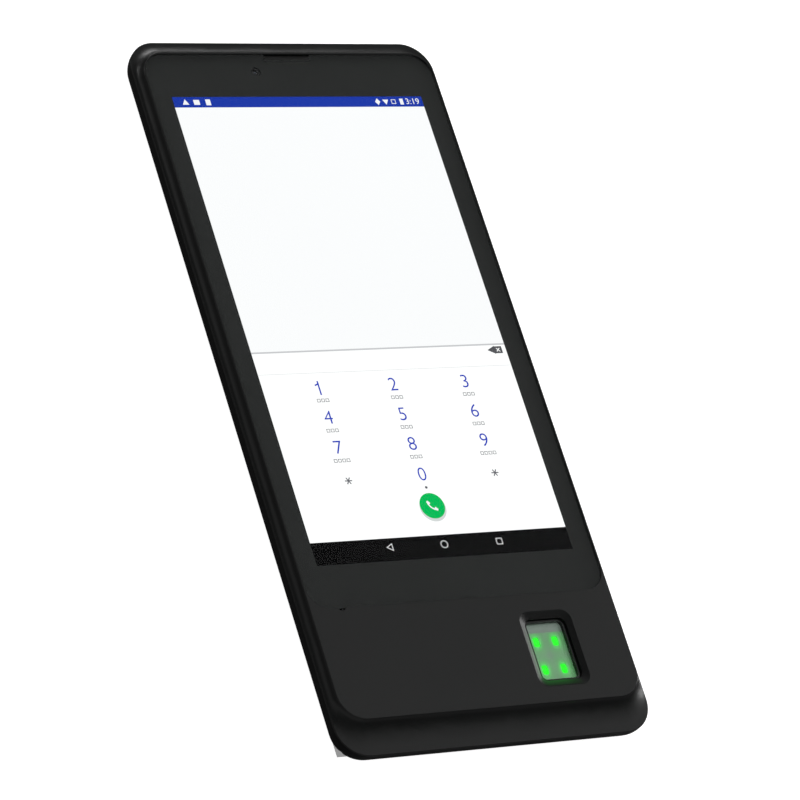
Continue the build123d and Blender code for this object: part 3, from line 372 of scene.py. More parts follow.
def let_light_through(tree, shader):
    """Lets the studio lights reach what lies under the glass, which only casts a clear shadow."""
    clear = add_node(tree, "ShaderNodeBsdfTransparent", Color=(0.93, 0.95, 0.94, 1.0))
    path = add_node(tree, "ShaderNodeLightPath")
    choose = add_node(tree, "ShaderNodeMixShader")
    output = [node for node in tree.nodes if node.type == "OUTPUT_MATERIAL"][0]
    tree.links.new(path.outputs["Is Shadow Ray"], choose.inputs["Fac"])
    tree.links.new(shader.outputs["BSDF"], choose.inputs[1])
    tree.links.new(clear.outputs["BSDF"], choose.inputs[2])
    tree.links.new(choose.outputs["Shader"], output.inputs["Surface"])


def clear_glass(name, colour, clean, smeared, size, ior, specular):
    """Clear glass whose sharpness varies with finger marks."""
    material, tree, shader = new_material(name)
    smear = add_node(tree, "ShaderNodeGroup", node_tree=smear_group)
    smear.inputs["Clean"].default_value = clean
    smear.inputs["Smeared"].default_value = smeared
    smear.inputs["Size"].default_value = size
    tree.links.new(smear.outputs["Roughness"], shader.inputs["Roughness"])
    shader.inputs["Base Color"].default_value = (*colour, 1.0)
    shader.inputs["Transmission Weight"].default_value = 1.0
    shader.inputs["IOR"].default_value = ior
    shader.inputs["Specular IOR Level"].default_value = specular
    let_light_through(tree, shader)
    return material


clear_glass("screen_glass", (0.97, 0.985, 0.98), 0.02, 0.07, 90.0, 1.14, 0.5)
clear_glass("scanner_glass", (0.94, 0.98, 0.95), 0.03, 0.16, 260.0, 1.40, 0.5)
clear_glass("lens_glass", (0.55, 0.60, 0.72), 0.01, 0.05, 300.0, 1.50, 0.5)
clear_glass("clear_guide", (0.95, 0.95, 0.90), 0.25, 0.40, 300.0, 1.45, 0.5)
print("glass materials ready")

# %% [markdown]
# ## Metals, boards and films inside
# The parts inside are hidden when the terminal is shut, but they are seen when it is taken apart.
# Rolled and tinned sheet shows fine lines along one direction, boards show a weave under the green
# solder mask, and flat cables are amber film with darker copper lines.


# %% Materials inside
def sheet_metal(name, colour, roughness, lines, metallic=1.0):
    """Rolled or pressed sheet with fine lines along Y."""
    material, tree, shader = new_material(name)
    place = object_place(tree)
    stretch = add_node(tree, "ShaderNodeMapping", Scale=(1.0, 0.04, 1.0))
    tree.links.new(place, stretch.inputs["Vector"])
    noise = add_node(tree, "ShaderNodeTexNoise", Scale=lines, Detail=3.0, Roughness=0.6)
    tree.links.new(stretch.outputs["Vector"], noise.inputs["Vector"])
    darker = tuple(0.78 * c for c in colour)
    tint = ramp_node(tree, [(0.35, darker), (0.65, colour)])
    tree.links.new(noise.outputs["Fac"], tint.inputs["Fac"])
    tree.links.new(tint.outputs["Color"], shader.inputs["Base Color"])
    sheen = add_node(tree, "ShaderNodeMapRange")
    sheen.inputs["To Min"].default_value = roughness - 0.08
    sheen.inputs["To Max"].default_value = roughness + 0.08
    tree.links.new(noise.outputs["Fac"], sheen.inputs["Value"])
    tree.links.new(sheen.outputs["Result"], shader.inputs["Roughness"])
    bump = add_node(tree, "ShaderNodeBump", Strength=0.4, Distance=mm(0.005))
    tree.links.new(noise.outputs["Fac"], bump.inputs["Height"])
    tree.links.new(bump.outputs["Normal"], shader.inputs["Normal"])
    shader.inputs["Metallic"].default_value = metallic
    return material


def banded(name, colour, band_colour, bands, sharp, roughness, direction="X"):
    """A film or board crossed by regular lines of a second colour."""
    material, tree, shader = new_material(name)
    place = object_place(tree)
    wave = add_node(tree, "ShaderNodeTexWave", Scale=bands, Distortion=0.0, bands_direction=direction)
    tree.links.new(place, wave.inputs["Vector"])
    tint = ramp_node(tree, [(0.5 - sharp, colour), (0.5 + sharp, band_colour)])
    tree.links.new(wave.outputs["Fac"], tint.inputs["Fac"])
    noise = add_node(tree, "ShaderNodeTexNoise", Scale=700.0, Detail=2.0)
    tree.links.new(place, noise.inputs["Vector"])
    gloss = add_node(tree, "ShaderNodeMapRange")
    gloss.inputs["To Min"].default_value = roughness - 0.06
    gloss.inputs["To Max"].default_value = roughness + 0.08
    tree.links.new(noise.outputs["Fac"], gloss.inputs["Value"])
    tree.links.new(tint.outputs["Color"], shader.inputs["Base Color"])
    tree.links.new(gloss.outputs["Result"], shader.inputs["Roughness"])
    return material


sheet_metal("steel_sheet", (0.56, 0.56, 0.55), 0.34, 900.0)
sheet_metal("tin_shield", (0.66, 0.66, 0.64), 0.24, 500.0)
sheet_metal("steel_socket", (0.48, 0.48, 0.48), 0.30, 1500.0)
sheet_metal("steel_screw", (0.50, 0.50, 0.50), 0.30, 2400.0)
sheet_metal("black_screw", (0.030, 0.030, 0.032), 0.38, 2400.0, 0.8)
sheet_metal("ring_metal", (0.030, 0.031, 0.033), 0.30, 1200.0, 0.9)
sheet_metal("battery_foil", (0.36, 0.37, 0.39), 0.40, 260.0, 0.9)
banded("green_board", (0.006, 0.075, 0.022), (0.012, 0.110, 0.034), 420.0, 0.10, 0.36)
banded("flex_film", (0.36, 0.15, 0.025), (0.20, 0.075, 0.012), 260.0, 0.15, 0.30)
banded("black_mesh", (0.004, 0.004, 0.004), (0.020, 0.020, 0.020), 900.0, 0.2, 0.60)
banded("card_plastic", (0.55, 0.55, 0.56), (0.50, 0.50, 0.52), 120.0, 0.3, 0.35, "Y")
banded("connector_cream", (0.50, 0.46, 0.36), (0.30, 0.28, 0.22), 600.0, 0.2, 0.45)
banded("white_plastic", (0.62, 0.62, 0.60), (0.58, 0.58, 0.56), 90.0, 0.4, 0.45, "Y")
banded("diffuser_sheet", (0.72, 0.74, 0.78), (0.68, 0.70, 0.75), 700.0, 0.4, 0.50, "Y")
moulded(
    "chip_black", (0.012, 0.012, 0.013), (0.018, 0.018, 0.019), 0.55, -0.1, 7000.0, mm(0.004), 0.4
)
moulded(
    "flash_yellow", (0.62, 0.50, 0.08), (0.70, 0.58, 0.12), 0.45, 0.0, 4000.0, mm(0.004), 0.5
)
print("materials so far:", len(bpy.data.materials))

# %% [markdown]
# ## Giving the designed parts their materials
# Each part keeps its mesh. The record says which slot a part belongs to, and the materials above
# carry the same names, so one loop dresses every part.

# %% Dress the parts
slot_of = {entry["node"]: entry["material_slot"] for entry in frame["record"]["subparts"]}


def dress(node_name, material):
    """Gives one designed part its material."""
    mesh = frame["nodes"][node_name].data
    mesh.materials.clear()
    mesh.materials.append(material)


for node_name, slot_name in slot_of.items():
    if slot_name in finishes:
        dress(node_name, finishes[slot_name])
print("slots still to dress:", sorted({name for name in slot_of.values() if name not in finishes}))

# %% [markdown]
# ## Smooth shells
# A designed part arrives as loose triangles, which shade as flat facets. On the parts that are
# seen, a copy is made: its points are merged, faces that meet gently are shaded as one surface, and
# true edges stay crisp. The rim of every level face is kept crisp as well, because a wide flat deck
# that borrows its neighbours' slope shows dark wedges. The copy keeps the part's shape.


# %% Smooth shells
MERGE_DISTANCE = mm(0.0005)
LEVEL = 0.9999


def smooth_copy(node_name, crease_degrees=20.0):
    """A merged, smoothly shaded copy of a designed part, which stands for the part."""
    source = frame["nodes"][node_name]
    mesh = source.data.copy()
    mesh.name = node_name + "_smooth"
    bm = bmesh.new()
    bm.from_mesh(mesh)
    bmesh.ops.remove_doubles(bm, verts=bm.verts, dist=MERGE_DISTANCE)
    bmesh.ops.dissolve_degenerate(bm, edges=bm.edges, dist=MERGE_DISTANCE)
    bm.normal_update()
    bm.edges.index_update()
    rim_edges = []
    for edge in bm.edges:
        level_faces = [face for face in edge.link_faces if abs(face.normal.z) > LEVEL]
        if len(level_faces) == 1:
            rim_edges.append(edge.index)
    bm.to_mesh(mesh)
    bm.free()
    mesh.shade_smooth()
    mesh.set_sharp_from_angle(angle=math.radians(crease_degrees))
    for index in rim_edges:
        mesh.edges[index].use_edge_sharp = True
    piece = bpy.data.objects.new(node_name + "_smooth", mesh)
    bpy.context.scene.collection.objects.link(piece)
    weighted = piece.modifiers.new("even normals", "WEIGHTED_NORMAL")
    weighted.keep_sharp = True
    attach(piece, source["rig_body"])
    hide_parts(node_name)
    return piece


shells = [
    "front_housing", "rear_housing", "cover_glass", "power_key", "volume_rocker", "card_tray",
    "fingerprint_bezel", "fingerprint_glass", "rear_camera_ring", "rear_camera_window",
    "rear_camera_lens", "front_camera", "front_camera_lens", "case_screws", "usb_socket", "audio_socket",
]
for shell in shells:
    smooth_copy(shell)
print("smooth shells:", len(shells))

# %% [markdown]
# ## Earpiece cloth
# A strip of fine black cloth fills the notch at the glass's upper edge, a little below its face.
# It is a rounded strip, its long middle row pushed up so that it is slightly crowned.


# %% Earpiece cloth
CLOTH_WIDTH = mm(15.8)
CLOTH_DEPTH = mm(2.0)
CLOTH_THICKNESS = mm(0.35)
CLOTH_CROWN = 0.6
CLOTH_SAG = 0.4
CLOTH_INTO_JOINT = mm(0.05)


def earpiece_cloth():
    """A crowned strip of acoustic cloth that fills the notch in the glass."""
    glass_low, glass_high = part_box("cover_glass")
    bm = bmesh.new()
    bmesh.ops.create_grid(bm, x_segments=28, y_segments=6, size=0.5)
    bmesh.ops.scale(bm, verts=bm.verts, vec=(CLOTH_WIDTH, CLOTH_DEPTH, 1.0))
    for vert in bm.verts:
        vert.co.z = CLOTH_THICKNESS * (CLOTH_CROWN - CLOTH_SAG * (2 * vert.co.y / CLOTH_DEPTH) ** 2)
    grown = bmesh.ops.extrude_face_region(bm, geom=bm.faces[:])
    under = [item for item in grown["geom"] if isinstance(item, bmesh.types.BMVert)]
    for vert in under:
        vert.co.z = 0.0
    middle_y = glass_high.y - CLOTH_DEPTH / 2 + CLOTH_INTO_JOINT
    middle = ((glass_low.x + glass_high.x) / 2, middle_y, glass_low.z)
    bmesh.ops.translate(bm, verts=bm.verts, vec=middle)
    bmesh.ops.recalc_face_normals(bm, faces=bm.faces)
    piece = object_from("earpiece_cloth", bm, finishes["black_mesh"])
    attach(piece, "terminal")
    return piece


earpiece_cloth()
print("earpiece cloth in the notch")

# %% [markdown]
# ## The picture on the screen
# The screen shows a plain phone keypad: a coloured status strip, an empty pale area, a white pad
# with ten digits and a round green call button, and a black strip with three outline symbols.
# It could be painted in one material, but separate thin pieces keep every edge sharp and each
# colour simple to change. Places on the screen are given as shares of its width and height,
# counted from the upper left, as a screen designer does.


# %% Screen helpers
def on_screen(across, down):
    """A point on the screen: shares of its width and height from the upper left corner."""
    x = screen_centre.x + (across - 0.5) * active_width
    y = screen_centre.y + (0.5 - down) * active_length
    return x, y


def lit(name, colour, strength, shade=0.03, grid=True):
    """A lit screen colour: it glows, and shows the panel's fine rows and a slight unevenness."""
    material, tree, shader = new_material(name)
    place = object_place(tree)
    link = tree.links.new
    cloud = add_node(tree, "ShaderNodeTexNoise", Scale=9.0, Detail=1.0)
    link(place, cloud.inputs["Vector"])
    rows = add_node(tree, "ShaderNodeTexWave", Scale=3300.0, bands_direction="Y")
    link(place, rows.inputs["Vector"])
    blend = add_node(tree, "ShaderNodeMath", operation="MULTIPLY_ADD")
    blend.inputs[1].default_value = 0.35 if grid else 0.0
    link(rows.outputs["Fac"], blend.inputs[0])
    link(cloud.outputs["Fac"], blend.inputs[2])
    darker = tuple(c * (1.0 - shade) for c in colour)
    tint = ramp_node(tree, [(0.3, darker), (1.0, colour)])
    link(blend.outputs[0], tint.inputs["Fac"])
    link(tint.outputs["Color"], shader.inputs["Emission Color"])
    shader.inputs["Emission Strength"].default_value = strength
    shader.inputs["Base Color"].default_value = (0.0005, 0.0005, 0.0005, 1.0)
    shader.inputs["Roughness"].default_value = 0.5
    shader.inputs["Specular IOR Level"].default_value = 0.0
    return material


LAYER = mm(0.022)
LEAF = mm(0.012)


def screen_piece(name, bm, material, layer):
    """Finishes a flat piece of the picture: a thin leaf lying in its own layer over the panel."""
    faces = bm.faces[:]
    bottom = screen_face + LAYER * layer
    bmesh.ops.translate(bm, verts=bm.verts, vec=(0, 0, bottom))
    grown = bmesh.ops.extrude_face_region(bm, geom=faces)
    tops = [item for item in grown["geom"] if isinstance(item, bmesh.types.BMVert)]
    bmesh.ops.translate(bm, verts=tops, vec=(0, 0, LEAF))
    bmesh.ops.recalc_face_normals(bm, faces=bm.faces)
    piece = object_from(name, bm, material)
    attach(piece, "terminal")
    return piece


def add_panel(bm, left, right, top, bottom):
    """Adds a rectangle given by its edges as shares of the screen."""
    x_low, y_high = on_screen(left, top)
    x_high, y_low = on_screen(right, bottom)
    made = bmesh.ops.create_grid(bm, x_segments=1, y_segments=1, size=0.5)
    bmesh.ops.scale(bm, verts=made["verts"], vec=(x_high - x_low, y_high - y_low, 1.0))
    middle = ((x_low + x_high) / 2, (y_low + y_high) / 2, 0.0)
    bmesh.ops.translate(bm, verts=made["verts"], vec=middle)
    return made["verts"]


def add_shape(bm, sides, radius, across, down, turn=0.0, stretch=1.0):
    """Adds a regular flat shape: many sides make a disc, three a triangle, four a square."""
    x, y = on_screen(across, down)
    made = bmesh.ops.create_circle(bm, cap_ends=True, segments=sides, radius=radius)
    bmesh.ops.rotate(bm, verts=made["verts"], matrix=Matrix.Rotation(turn, 3, "Z"))
    bmesh.ops.scale(bm, verts=made["verts"], vec=(1.0, stretch, 1.0))
    bmesh.ops.translate(bm, verts=made["verts"], vec=(x, y, 0.0))
    return made["verts"]


# %% [markdown]
# ### Backgrounds
# The pale upper area is the base leaf. The strips and the pad lie over it, a leaf's thickness up,
# so nothing shares a plane and nothing flickers.

# %% Screen backgrounds
pale = lit("screen_pale", (0.955, 0.955, 0.965), 1.06, 0.02)
white = lit("screen_white", (1.0, 1.0, 1.0), 1.08, 0.01)
blue = lit("screen_blue", (0.010, 0.040, 0.40), 1.0, 0.10)
black_strip = lit("screen_black", (0.0012, 0.0012, 0.0014), 1.0, 0.2)
soft_grey = lit("screen_shadow", (0.62, 0.62, 0.64), 1.0, 0.05)
faint_grey = lit("screen_rule", (0.78, 0.78, 0.80), 1.0, 0.05)

STATUS_END = 0.0234
PAD_START = 0.5600
RULE_PLACE = 0.6040
NAV_START = 0.9531


def background(name, material, layer, top, bottom):
    """A full-width band of the picture."""
    bm = bmesh.new()
    add_panel(bm, 0.0, 1.0, top, bottom)
    return screen_piece(name, bm, material, layer)


background("picture_base", pale, 0, 0.0, 1.0)
background("status_strip", blue, 1, 0.0, STATUS_END)
background("pad_shadow", soft_grey, 1, PAD_START - 0.0035, PAD_START)
background("dial_pad", white, 1, PAD_START, NAV_START)
background("entry_rule", faint_grey, 2, RULE_PLACE, RULE_PLACE + 0.0010)
background("navigation_strip", black_strip, 1, NAV_START, 1.0)
print("screen bands placed")

# %% [markdown]
# ### Digits
# The ten digits stand in three columns. They are made as text, turned into a mesh, thinned a
# little, and moved to their places, because a text object can't be finished in place. Rows of tiny
# boxes stand for the key letters under them, so that the pad carries no words.

# %% Digits
digit_ink = lit("digit_ink", (0.020, 0.050, 0.52), 1.0, 0.1)
letter_ink = lit("letter_ink", (0.13, 0.13, 0.15), 1.0, 0.1)
DIGIT_HEIGHT = mm(6.2)
COLUMNS = (0.218, 0.5065, 0.7925)
ROWS = (0.6365, 0.7000, 0.7630, 0.8275)
DIGIT_THINNING = mm(0.05)
ZERO_THINNING = mm(0.06)
ONE_HALF_STEM = 0.0028
ONE_HALF_HEIGHT = 0.0148
ONE_FLAG = (0.019, 0.0110, 0.0080)
ONE_FLAG_TILT = math.radians(24)
BOX_SPACING = 0.0165
BOX_RADIUS = mm(0.78)
BOX_LINE = mm(0.17)
BOXES_BELOW = 0.0262
DOT_BELOW = 0.0265
DOT_RADIUS = mm(0.45)
STAR_BELOW = 0.004
STAR_BAR = (mm(2.4), mm(0.35), 1.0)


def add_text(bm, words, height, across, down, thinner=0.0):
    """Adds flat text centred on a place on the screen."""
    curve = bpy.data.curves.new("text", "FONT")
    curve.body = words
    curve.size = height
    curve.align_x = "CENTER"
    curve.align_y = "CENTER"
    curve.offset = -thinner
    curve.resolution_u = 5
    holder = bpy.data.objects.new("text", curve)
    bpy.context.scene.collection.objects.link(holder)
    flat = bpy.data.meshes.new_from_object(holder)
    x, y = on_screen(across, down)
    flat.transform(Matrix.Translation((x, y, 0.0)))
    bm.from_mesh(flat)
    bpy.data.meshes.remove(flat)
    bpy.data.objects.remove(holder)
    bpy.data.curves.remove(curve)


def add_outline(bm, sides, radius, across, down, turn, line):
    """Adds a regular shape as an outline of the given line width."""
    face_ring = add_shape(bm, sides, radius, across, down, turn)
    face = [f for f in bm.faces if all(v in face_ring for v in f.verts)]
    inner = bmesh.ops.inset_region(
        bm, faces=face, thickness=line, use_boundary=True, use_even_offset=True
    )
    bmesh.ops.delete(bm, geom=face, context="FACES_ONLY")
    return inner


def add_one(bm, across, down):
    """A plain upright one: a thin stem with a short flag, because the font's own is only a stem."""
    stem_top = down - ONE_HALF_HEIGHT
    add_panel(bm, across - ONE_HALF_STEM, across + ONE_HALF_STEM, stem_top, down + ONE_HALF_HEIGHT)
    reach, upper, lower = ONE_FLAG
    flag = add_panel(bm, across - reach, across - ONE_HALF_STEM, down - upper, down - lower)
    x, y = on_screen(across, stem_top)
    tilt = Matrix.Rotation(ONE_FLAG_TILT, 3, "Z")
    bmesh.ops.rotate(bm, verts=flag, cent=(x, y, 0.0), matrix=tilt)


def keypad():
    """The ten digits, the rows of boxes under most of them, and a star on either side of the zero."""
    digits = bmesh.new()
    letters = bmesh.new()
    for number in range(1, 10):
        across = COLUMNS[(number - 1) % 3]
        down = ROWS[(number - 1) // 3]
        if number == 1:
            add_one(digits, across, down)
        else:
            add_text(digits, str(number), DIGIT_HEIGHT, across, down, DIGIT_THINNING)
        boxes = 4 if number in (7, 9) else 3
        for box in range(boxes):
            middle = across + BOX_SPACING * (box - (boxes - 1) / 2)
            add_outline(letters, 4, BOX_RADIUS, middle, down + BOXES_BELOW, math.radians(45), BOX_LINE)
    add_text(digits, "0", DIGIT_HEIGHT, COLUMNS[1], ROWS[3], ZERO_THINNING)
    add_shape(letters, 12, DOT_RADIUS, COLUMNS[1], ROWS[3] + DOT_BELOW)
    for side in (COLUMNS[0], COLUMNS[2]):
        for turn in range(3):
            x, y = on_screen(side, ROWS[3] + STAR_BELOW)
            made = bmesh.ops.create_grid(letters, x_segments=1, y_segments=1, size=0.5)
            bmesh.ops.scale(letters, verts=made["verts"], vec=STAR_BAR)
            spin = Matrix.Rotation(math.radians(60 * turn), 3, "Z")
            bmesh.ops.rotate(letters, verts=made["verts"], matrix=spin)
            bmesh.ops.translate(letters, verts=made["verts"], vec=(x, y, 0.0))
    screen_piece("dial_digits", digits, digit_ink, 2)
    screen_piece("dial_marks", letters, letter_ink, 2)


keypad()
print("keypad drawn")

# %% [markdown]
# ### Call button and symbols
# The call button is a green disc with a soft shadow and a plain handset. The symbols in the two
# strips are simple shapes: a triangle, a ring and a square below, and small blocks above.

# %% Call button
call_green = lit("call_green", (0.0, 0.52, 0.10), 1.0, 0.12)
button_shadow = lit("button_shadow", (0.70, 0.72, 0.72), 1.0, 0.1)
icon_white = lit("icon_white", (0.95, 0.95, 0.97), 1.0, 0.02)
icon_grey = lit("icon_grey", (0.10, 0.10, 0.11), 1.0, 0.1)
CALL_PLACE = (0.5067, 0.8925)
CALL_RADIUS = mm(4.1)


def call_button():
    """A green disc, its shadow, and a handset made from a bent bar with two ends."""
    shadow = bmesh.new()
    add_shape(shadow, 48, CALL_RADIUS * 1.06, CALL_PLACE[0], CALL_PLACE[1] + 0.0045)
    screen_piece("call_shadow", shadow, button_shadow, 2)
    disc = bmesh.new()
    add_shape(disc, 48, CALL_RADIUS, *CALL_PLACE)
    screen_piece("call_disc", disc, call_green, 3)
    handset = bmesh.new()
    x, y = on_screen(*CALL_PLACE)
    start = handset.verts.new((mm(-1.15), mm(1.55), 0.0))
    end = handset.verts.new((mm(-1.55), mm(1.15), 0.0))
    bar = handset.edges.new((start, end))
    bmesh.ops.spin(
        handset, geom=[bar, start, end], cent=(mm(1.6), mm(1.6), 0.0), axis=(0, 0, 1),
        angle=math.radians(82), steps=10, use_merge=False, use_normal_flip=False, use_duplicate=False,
    )
    for corner in ((-1.05, 1.05), (1.05, -1.05)):
        made = bmesh.ops.create_grid(handset, x_segments=1, y_segments=1, size=0.5)
        bmesh.ops.scale(handset, verts=made["verts"], vec=(mm(1.15), mm(0.75), 1.0))
        bmesh.ops.rotate(handset, verts=made["verts"], matrix=Matrix.Rotation(math.radians(-45), 3, "Z"))
        bmesh.ops.translate(handset, verts=made["verts"], vec=(mm(corner[0]), mm(corner[1]), 0.0))
    bmesh.ops.translate(handset, verts=handset.verts, vec=(x, y, 0.0))
    screen_piece("call_handset", handset, icon_white, 4)


call_button()


# %% Symbols
SYMBOL_LINE = mm(0.20)
RUB_OUT_PLACE = (0.9680, 0.5705)
RUB_OUT_TIP = (0.9450, 0.5705)
CROSS_BAR = (mm(1.6), mm(0.26), 1.0)


def symbols():
    """The three outlines in the lower strip, the blocks in the upper strip, and the rub-out key."""
    below = bmesh.new()
    add_outline(below, 3, mm(1.40), 0.2980, 0.9715, math.radians(90), SYMBOL_LINE)
    add_outline(below, 32, mm(1.20), 0.5055, 0.9725, 0.0, SYMBOL_LINE)
    add_outline(below, 4, mm(1.45), 0.7215, 0.9735, math.radians(45), SYMBOL_LINE)
    screen_piece("navigation_symbols", below, icon_white, 2)
    above = bmesh.new()
    add_shape(above, 3, mm(1.25), 0.048, 0.0130)
    add_panel(above, 0.080, 0.103, 0.0065, 0.0175)
    add_panel(above, 0.127, 0.146, 0.0055, 0.0185)
    add_shape(above, 4, mm(0.9), 0.815, 0.0118, 0.0, 1.3)
    add_shape(above, 3, mm(1.2), 0.848, 0.0110, math.radians(180))
    add_outline(above, 4, mm(1.1), 0.880, 0.0118, math.radians(45), SYMBOL_LINE)
    add_panel(above, 0.906, 0.920, 0.0050, 0.0185)
    add_text(above, "3:19", mm(2.9), 0.958, 0.0118)
    screen_piece("status_symbols", above, icon_white, 2)
    rub = bmesh.new()
    add_shape(rub, 4, mm(1.95), *RUB_OUT_PLACE, math.radians(45), 0.85)
    add_shape(rub, 3, mm(1.75), *RUB_OUT_TIP, math.radians(90), 0.90)
    screen_piece("rub_out_key", rub, icon_grey, 2)
    cross = bmesh.new()
    for turn in (45, -45):
        x, y = on_screen(*RUB_OUT_PLACE)
        made = bmesh.ops.create_grid(cross, x_segments=1, y_segments=1, size=0.5)
        bmesh.ops.scale(cross, verts=made["verts"], vec=CROSS_BAR)
        bmesh.ops.rotate(cross, verts=made["verts"], matrix=Matrix.Rotation(math.radians(turn), 3, "Z"))
        bmesh.ops.translate(cross, verts=made["verts"], vec=(x, y, 0.0))
    screen_piece("rub_out_cross", cross, white, 3)


symbols()
print("symbols drawn")

# %% [markdown]
# ## Panel edge
# Round the lit picture the bare panel is dark grey glass, hidden under the printed border.

# %% Panel edge
dress("lcd_cell", black_ink)

# %% [markdown]
# ## Glow in the scanner
# Under the scanner's glass lies a frosted grey plate with four green lamps. Each lamp is a small
# bright core, and the plate round it picks up the light and lets it fade with distance. Cycles
# could scatter real light in the plate, but that needs many samples, so the plate's glow is painted
# light, worked out from the distance to each lamp. A grey band along the plate's upper end is a
# painted reflection of the room in the scanner's glass. Both depend only on the place on the plate.

# %% Scanner glow
lamp_low, lamp_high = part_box("fingerprint_lamps")
LAMP_SIZE = (mm(1.7), mm(2.6))
lamp_middle = (lamp_low + lamp_high) / 2
lamp_half_x = (lamp_high.x - lamp_low.x - LAMP_SIZE[0]) / 2
lamp_half_y = (lamp_high.y - lamp_low.y - LAMP_SIZE[1]) / 2
lamp_spots = [
    (lamp_middle.x + sx * lamp_half_x, lamp_middle.y + sy * lamp_half_y) for sx in (-1, 1) for sy in (-1, 1)
]
plate_top_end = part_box("fingerprint_light_plate")[1].y
# painted reflection: where the grey band at the plate's upper end starts and ends, down from that end
PAINTED_REFLECTION_BAND = (mm(2.7), mm(2.4))
GLOW_REACH = mm(4.2)
GLOW_STRETCH = 0.72


def nearest_lamp(tree):
    """The distance on the plate to the nearest lamp, stretched so that the glow is taller than wide."""
    place = object_place(tree)
    nearest = None
    for spot in lamp_spots:
        away = add_node(tree, "ShaderNodeMapping", Location=(-spot[0], -spot[1] * GLOW_STRETCH, 0.0))
        away.inputs["Scale"].default_value = (1.0, GLOW_STRETCH, 0.0)
        tree.links.new(place, away.inputs["Vector"])
        length = add_node(tree, "ShaderNodeVectorMath", operation="LENGTH")
        tree.links.new(away.outputs["Vector"], length.inputs[0])
        if nearest is None:
            nearest = length.outputs["Value"]
            continue
        smaller = add_node(tree, "ShaderNodeMath", operation="MINIMUM")
        tree.links.new(nearest, smaller.inputs[0])
        tree.links.new(length.outputs["Value"], smaller.inputs[1])
        nearest = smaller.outputs[0]
    return nearest


def glow_plate():
    """Frosted grey plate: painted green glow round each lamp, painted reflection along its upper end."""
    material, tree, shader = new_material("light_plate")
    link = tree.links.new
    reach = add_node(tree, "ShaderNodeMapRange")
    reach.inputs["From Min"].default_value = 0.0
    reach.inputs["From Max"].default_value = GLOW_REACH
    link(nearest_lamp(tree), reach.inputs["Value"])
    glow = ramp_node(tree, [
        (0.0, (0.0, 1.0, 0.0)),
        (0.22, (0.0, 0.80, 0.01)),
        (0.33, (0.02, 0.42, 0.04)),
        (0.52, (0.045, 0.23, 0.052)),
        (0.78, (0.055, 0.19, 0.065)),
        (1.0, (0.070, 0.15, 0.080)),
    ])
    link(reach.outputs["Result"], glow.inputs["Fac"])
    # painted reflection: a grey glow along the plate's upper end stands in for the room mirrored in the
    # glass
    height = add_node(tree, "ShaderNodeSeparateXYZ")
    link(object_place(tree), height.inputs["Vector"])
    reflection_band = add_node(tree, "ShaderNodeMapRange")
    reflection_band.inputs["From Min"].default_value = plate_top_end - PAINTED_REFLECTION_BAND[0]
    reflection_band.inputs["From Max"].default_value = plate_top_end - PAINTED_REFLECTION_BAND[1]
    link(height.outputs["Y"], reflection_band.inputs["Value"])
    glow_and_reflection = add_node(tree, "ShaderNodeMix", data_type="RGBA")
    link(reflection_band.outputs["Result"], glow_and_reflection.inputs["Factor"])
    link(glow.outputs["Color"], glow_and_reflection.inputs["A"])
    glow_and_reflection.inputs["B"].default_value = (0.085, 0.105, 0.092, 1.0)
    link(glow_and_reflection.outputs["Result"], shader.inputs["Emission Color"])
    shader.inputs["Emission Strength"].default_value = 1.0
    noise = add_node(tree, "ShaderNodeTexNoise", Scale=1800.0, Detail=2.0)
    link(object_place(tree), noise.inputs["Vector"])
    frost = ramp_node(tree, [(0.3, (0.10, 0.13, 0.11)), (0.7, (0.14, 0.17, 0.15))])
    link(noise.outputs["Fac"], frost.inputs["Fac"])
    link(frost.outputs["Color"], shader.inputs["Base Color"])
    shader.inputs["Roughness"].default_value = 0.6
    return material


light_plate = glow_plate()
green_lamp = lit("green_lamp", (0.0, 1.0, 0.0), 1.2, 0.1, False)
dress("fingerprint_light_plate", light_plate)
dress("fingerprint_lamps", green_lamp)
print("lamps at", [tuple(round(v, 4) for v in spot) for spot in lamp_spots])

# %% [markdown]
# ## Green light on the deck
# The lamps also light the two slopes of the dish that face the window from the left and from below.
# That light is painted: the deck's resin is given a faint green glow there, fading out where the
# slopes meet the flat deck.


# %% Green light on the deck
DISH_HALF_SIZE = (mm(8.8), mm(11.8), mm(1.0))
SPILL_SIDE = (-0.15, -0.85)
SPILL_REACH = (1.45, 1.25)
SPILL_DEPTH = (-0.05, -0.75)
SPILL_GREEN = (0.004, 0.075, 0.006)


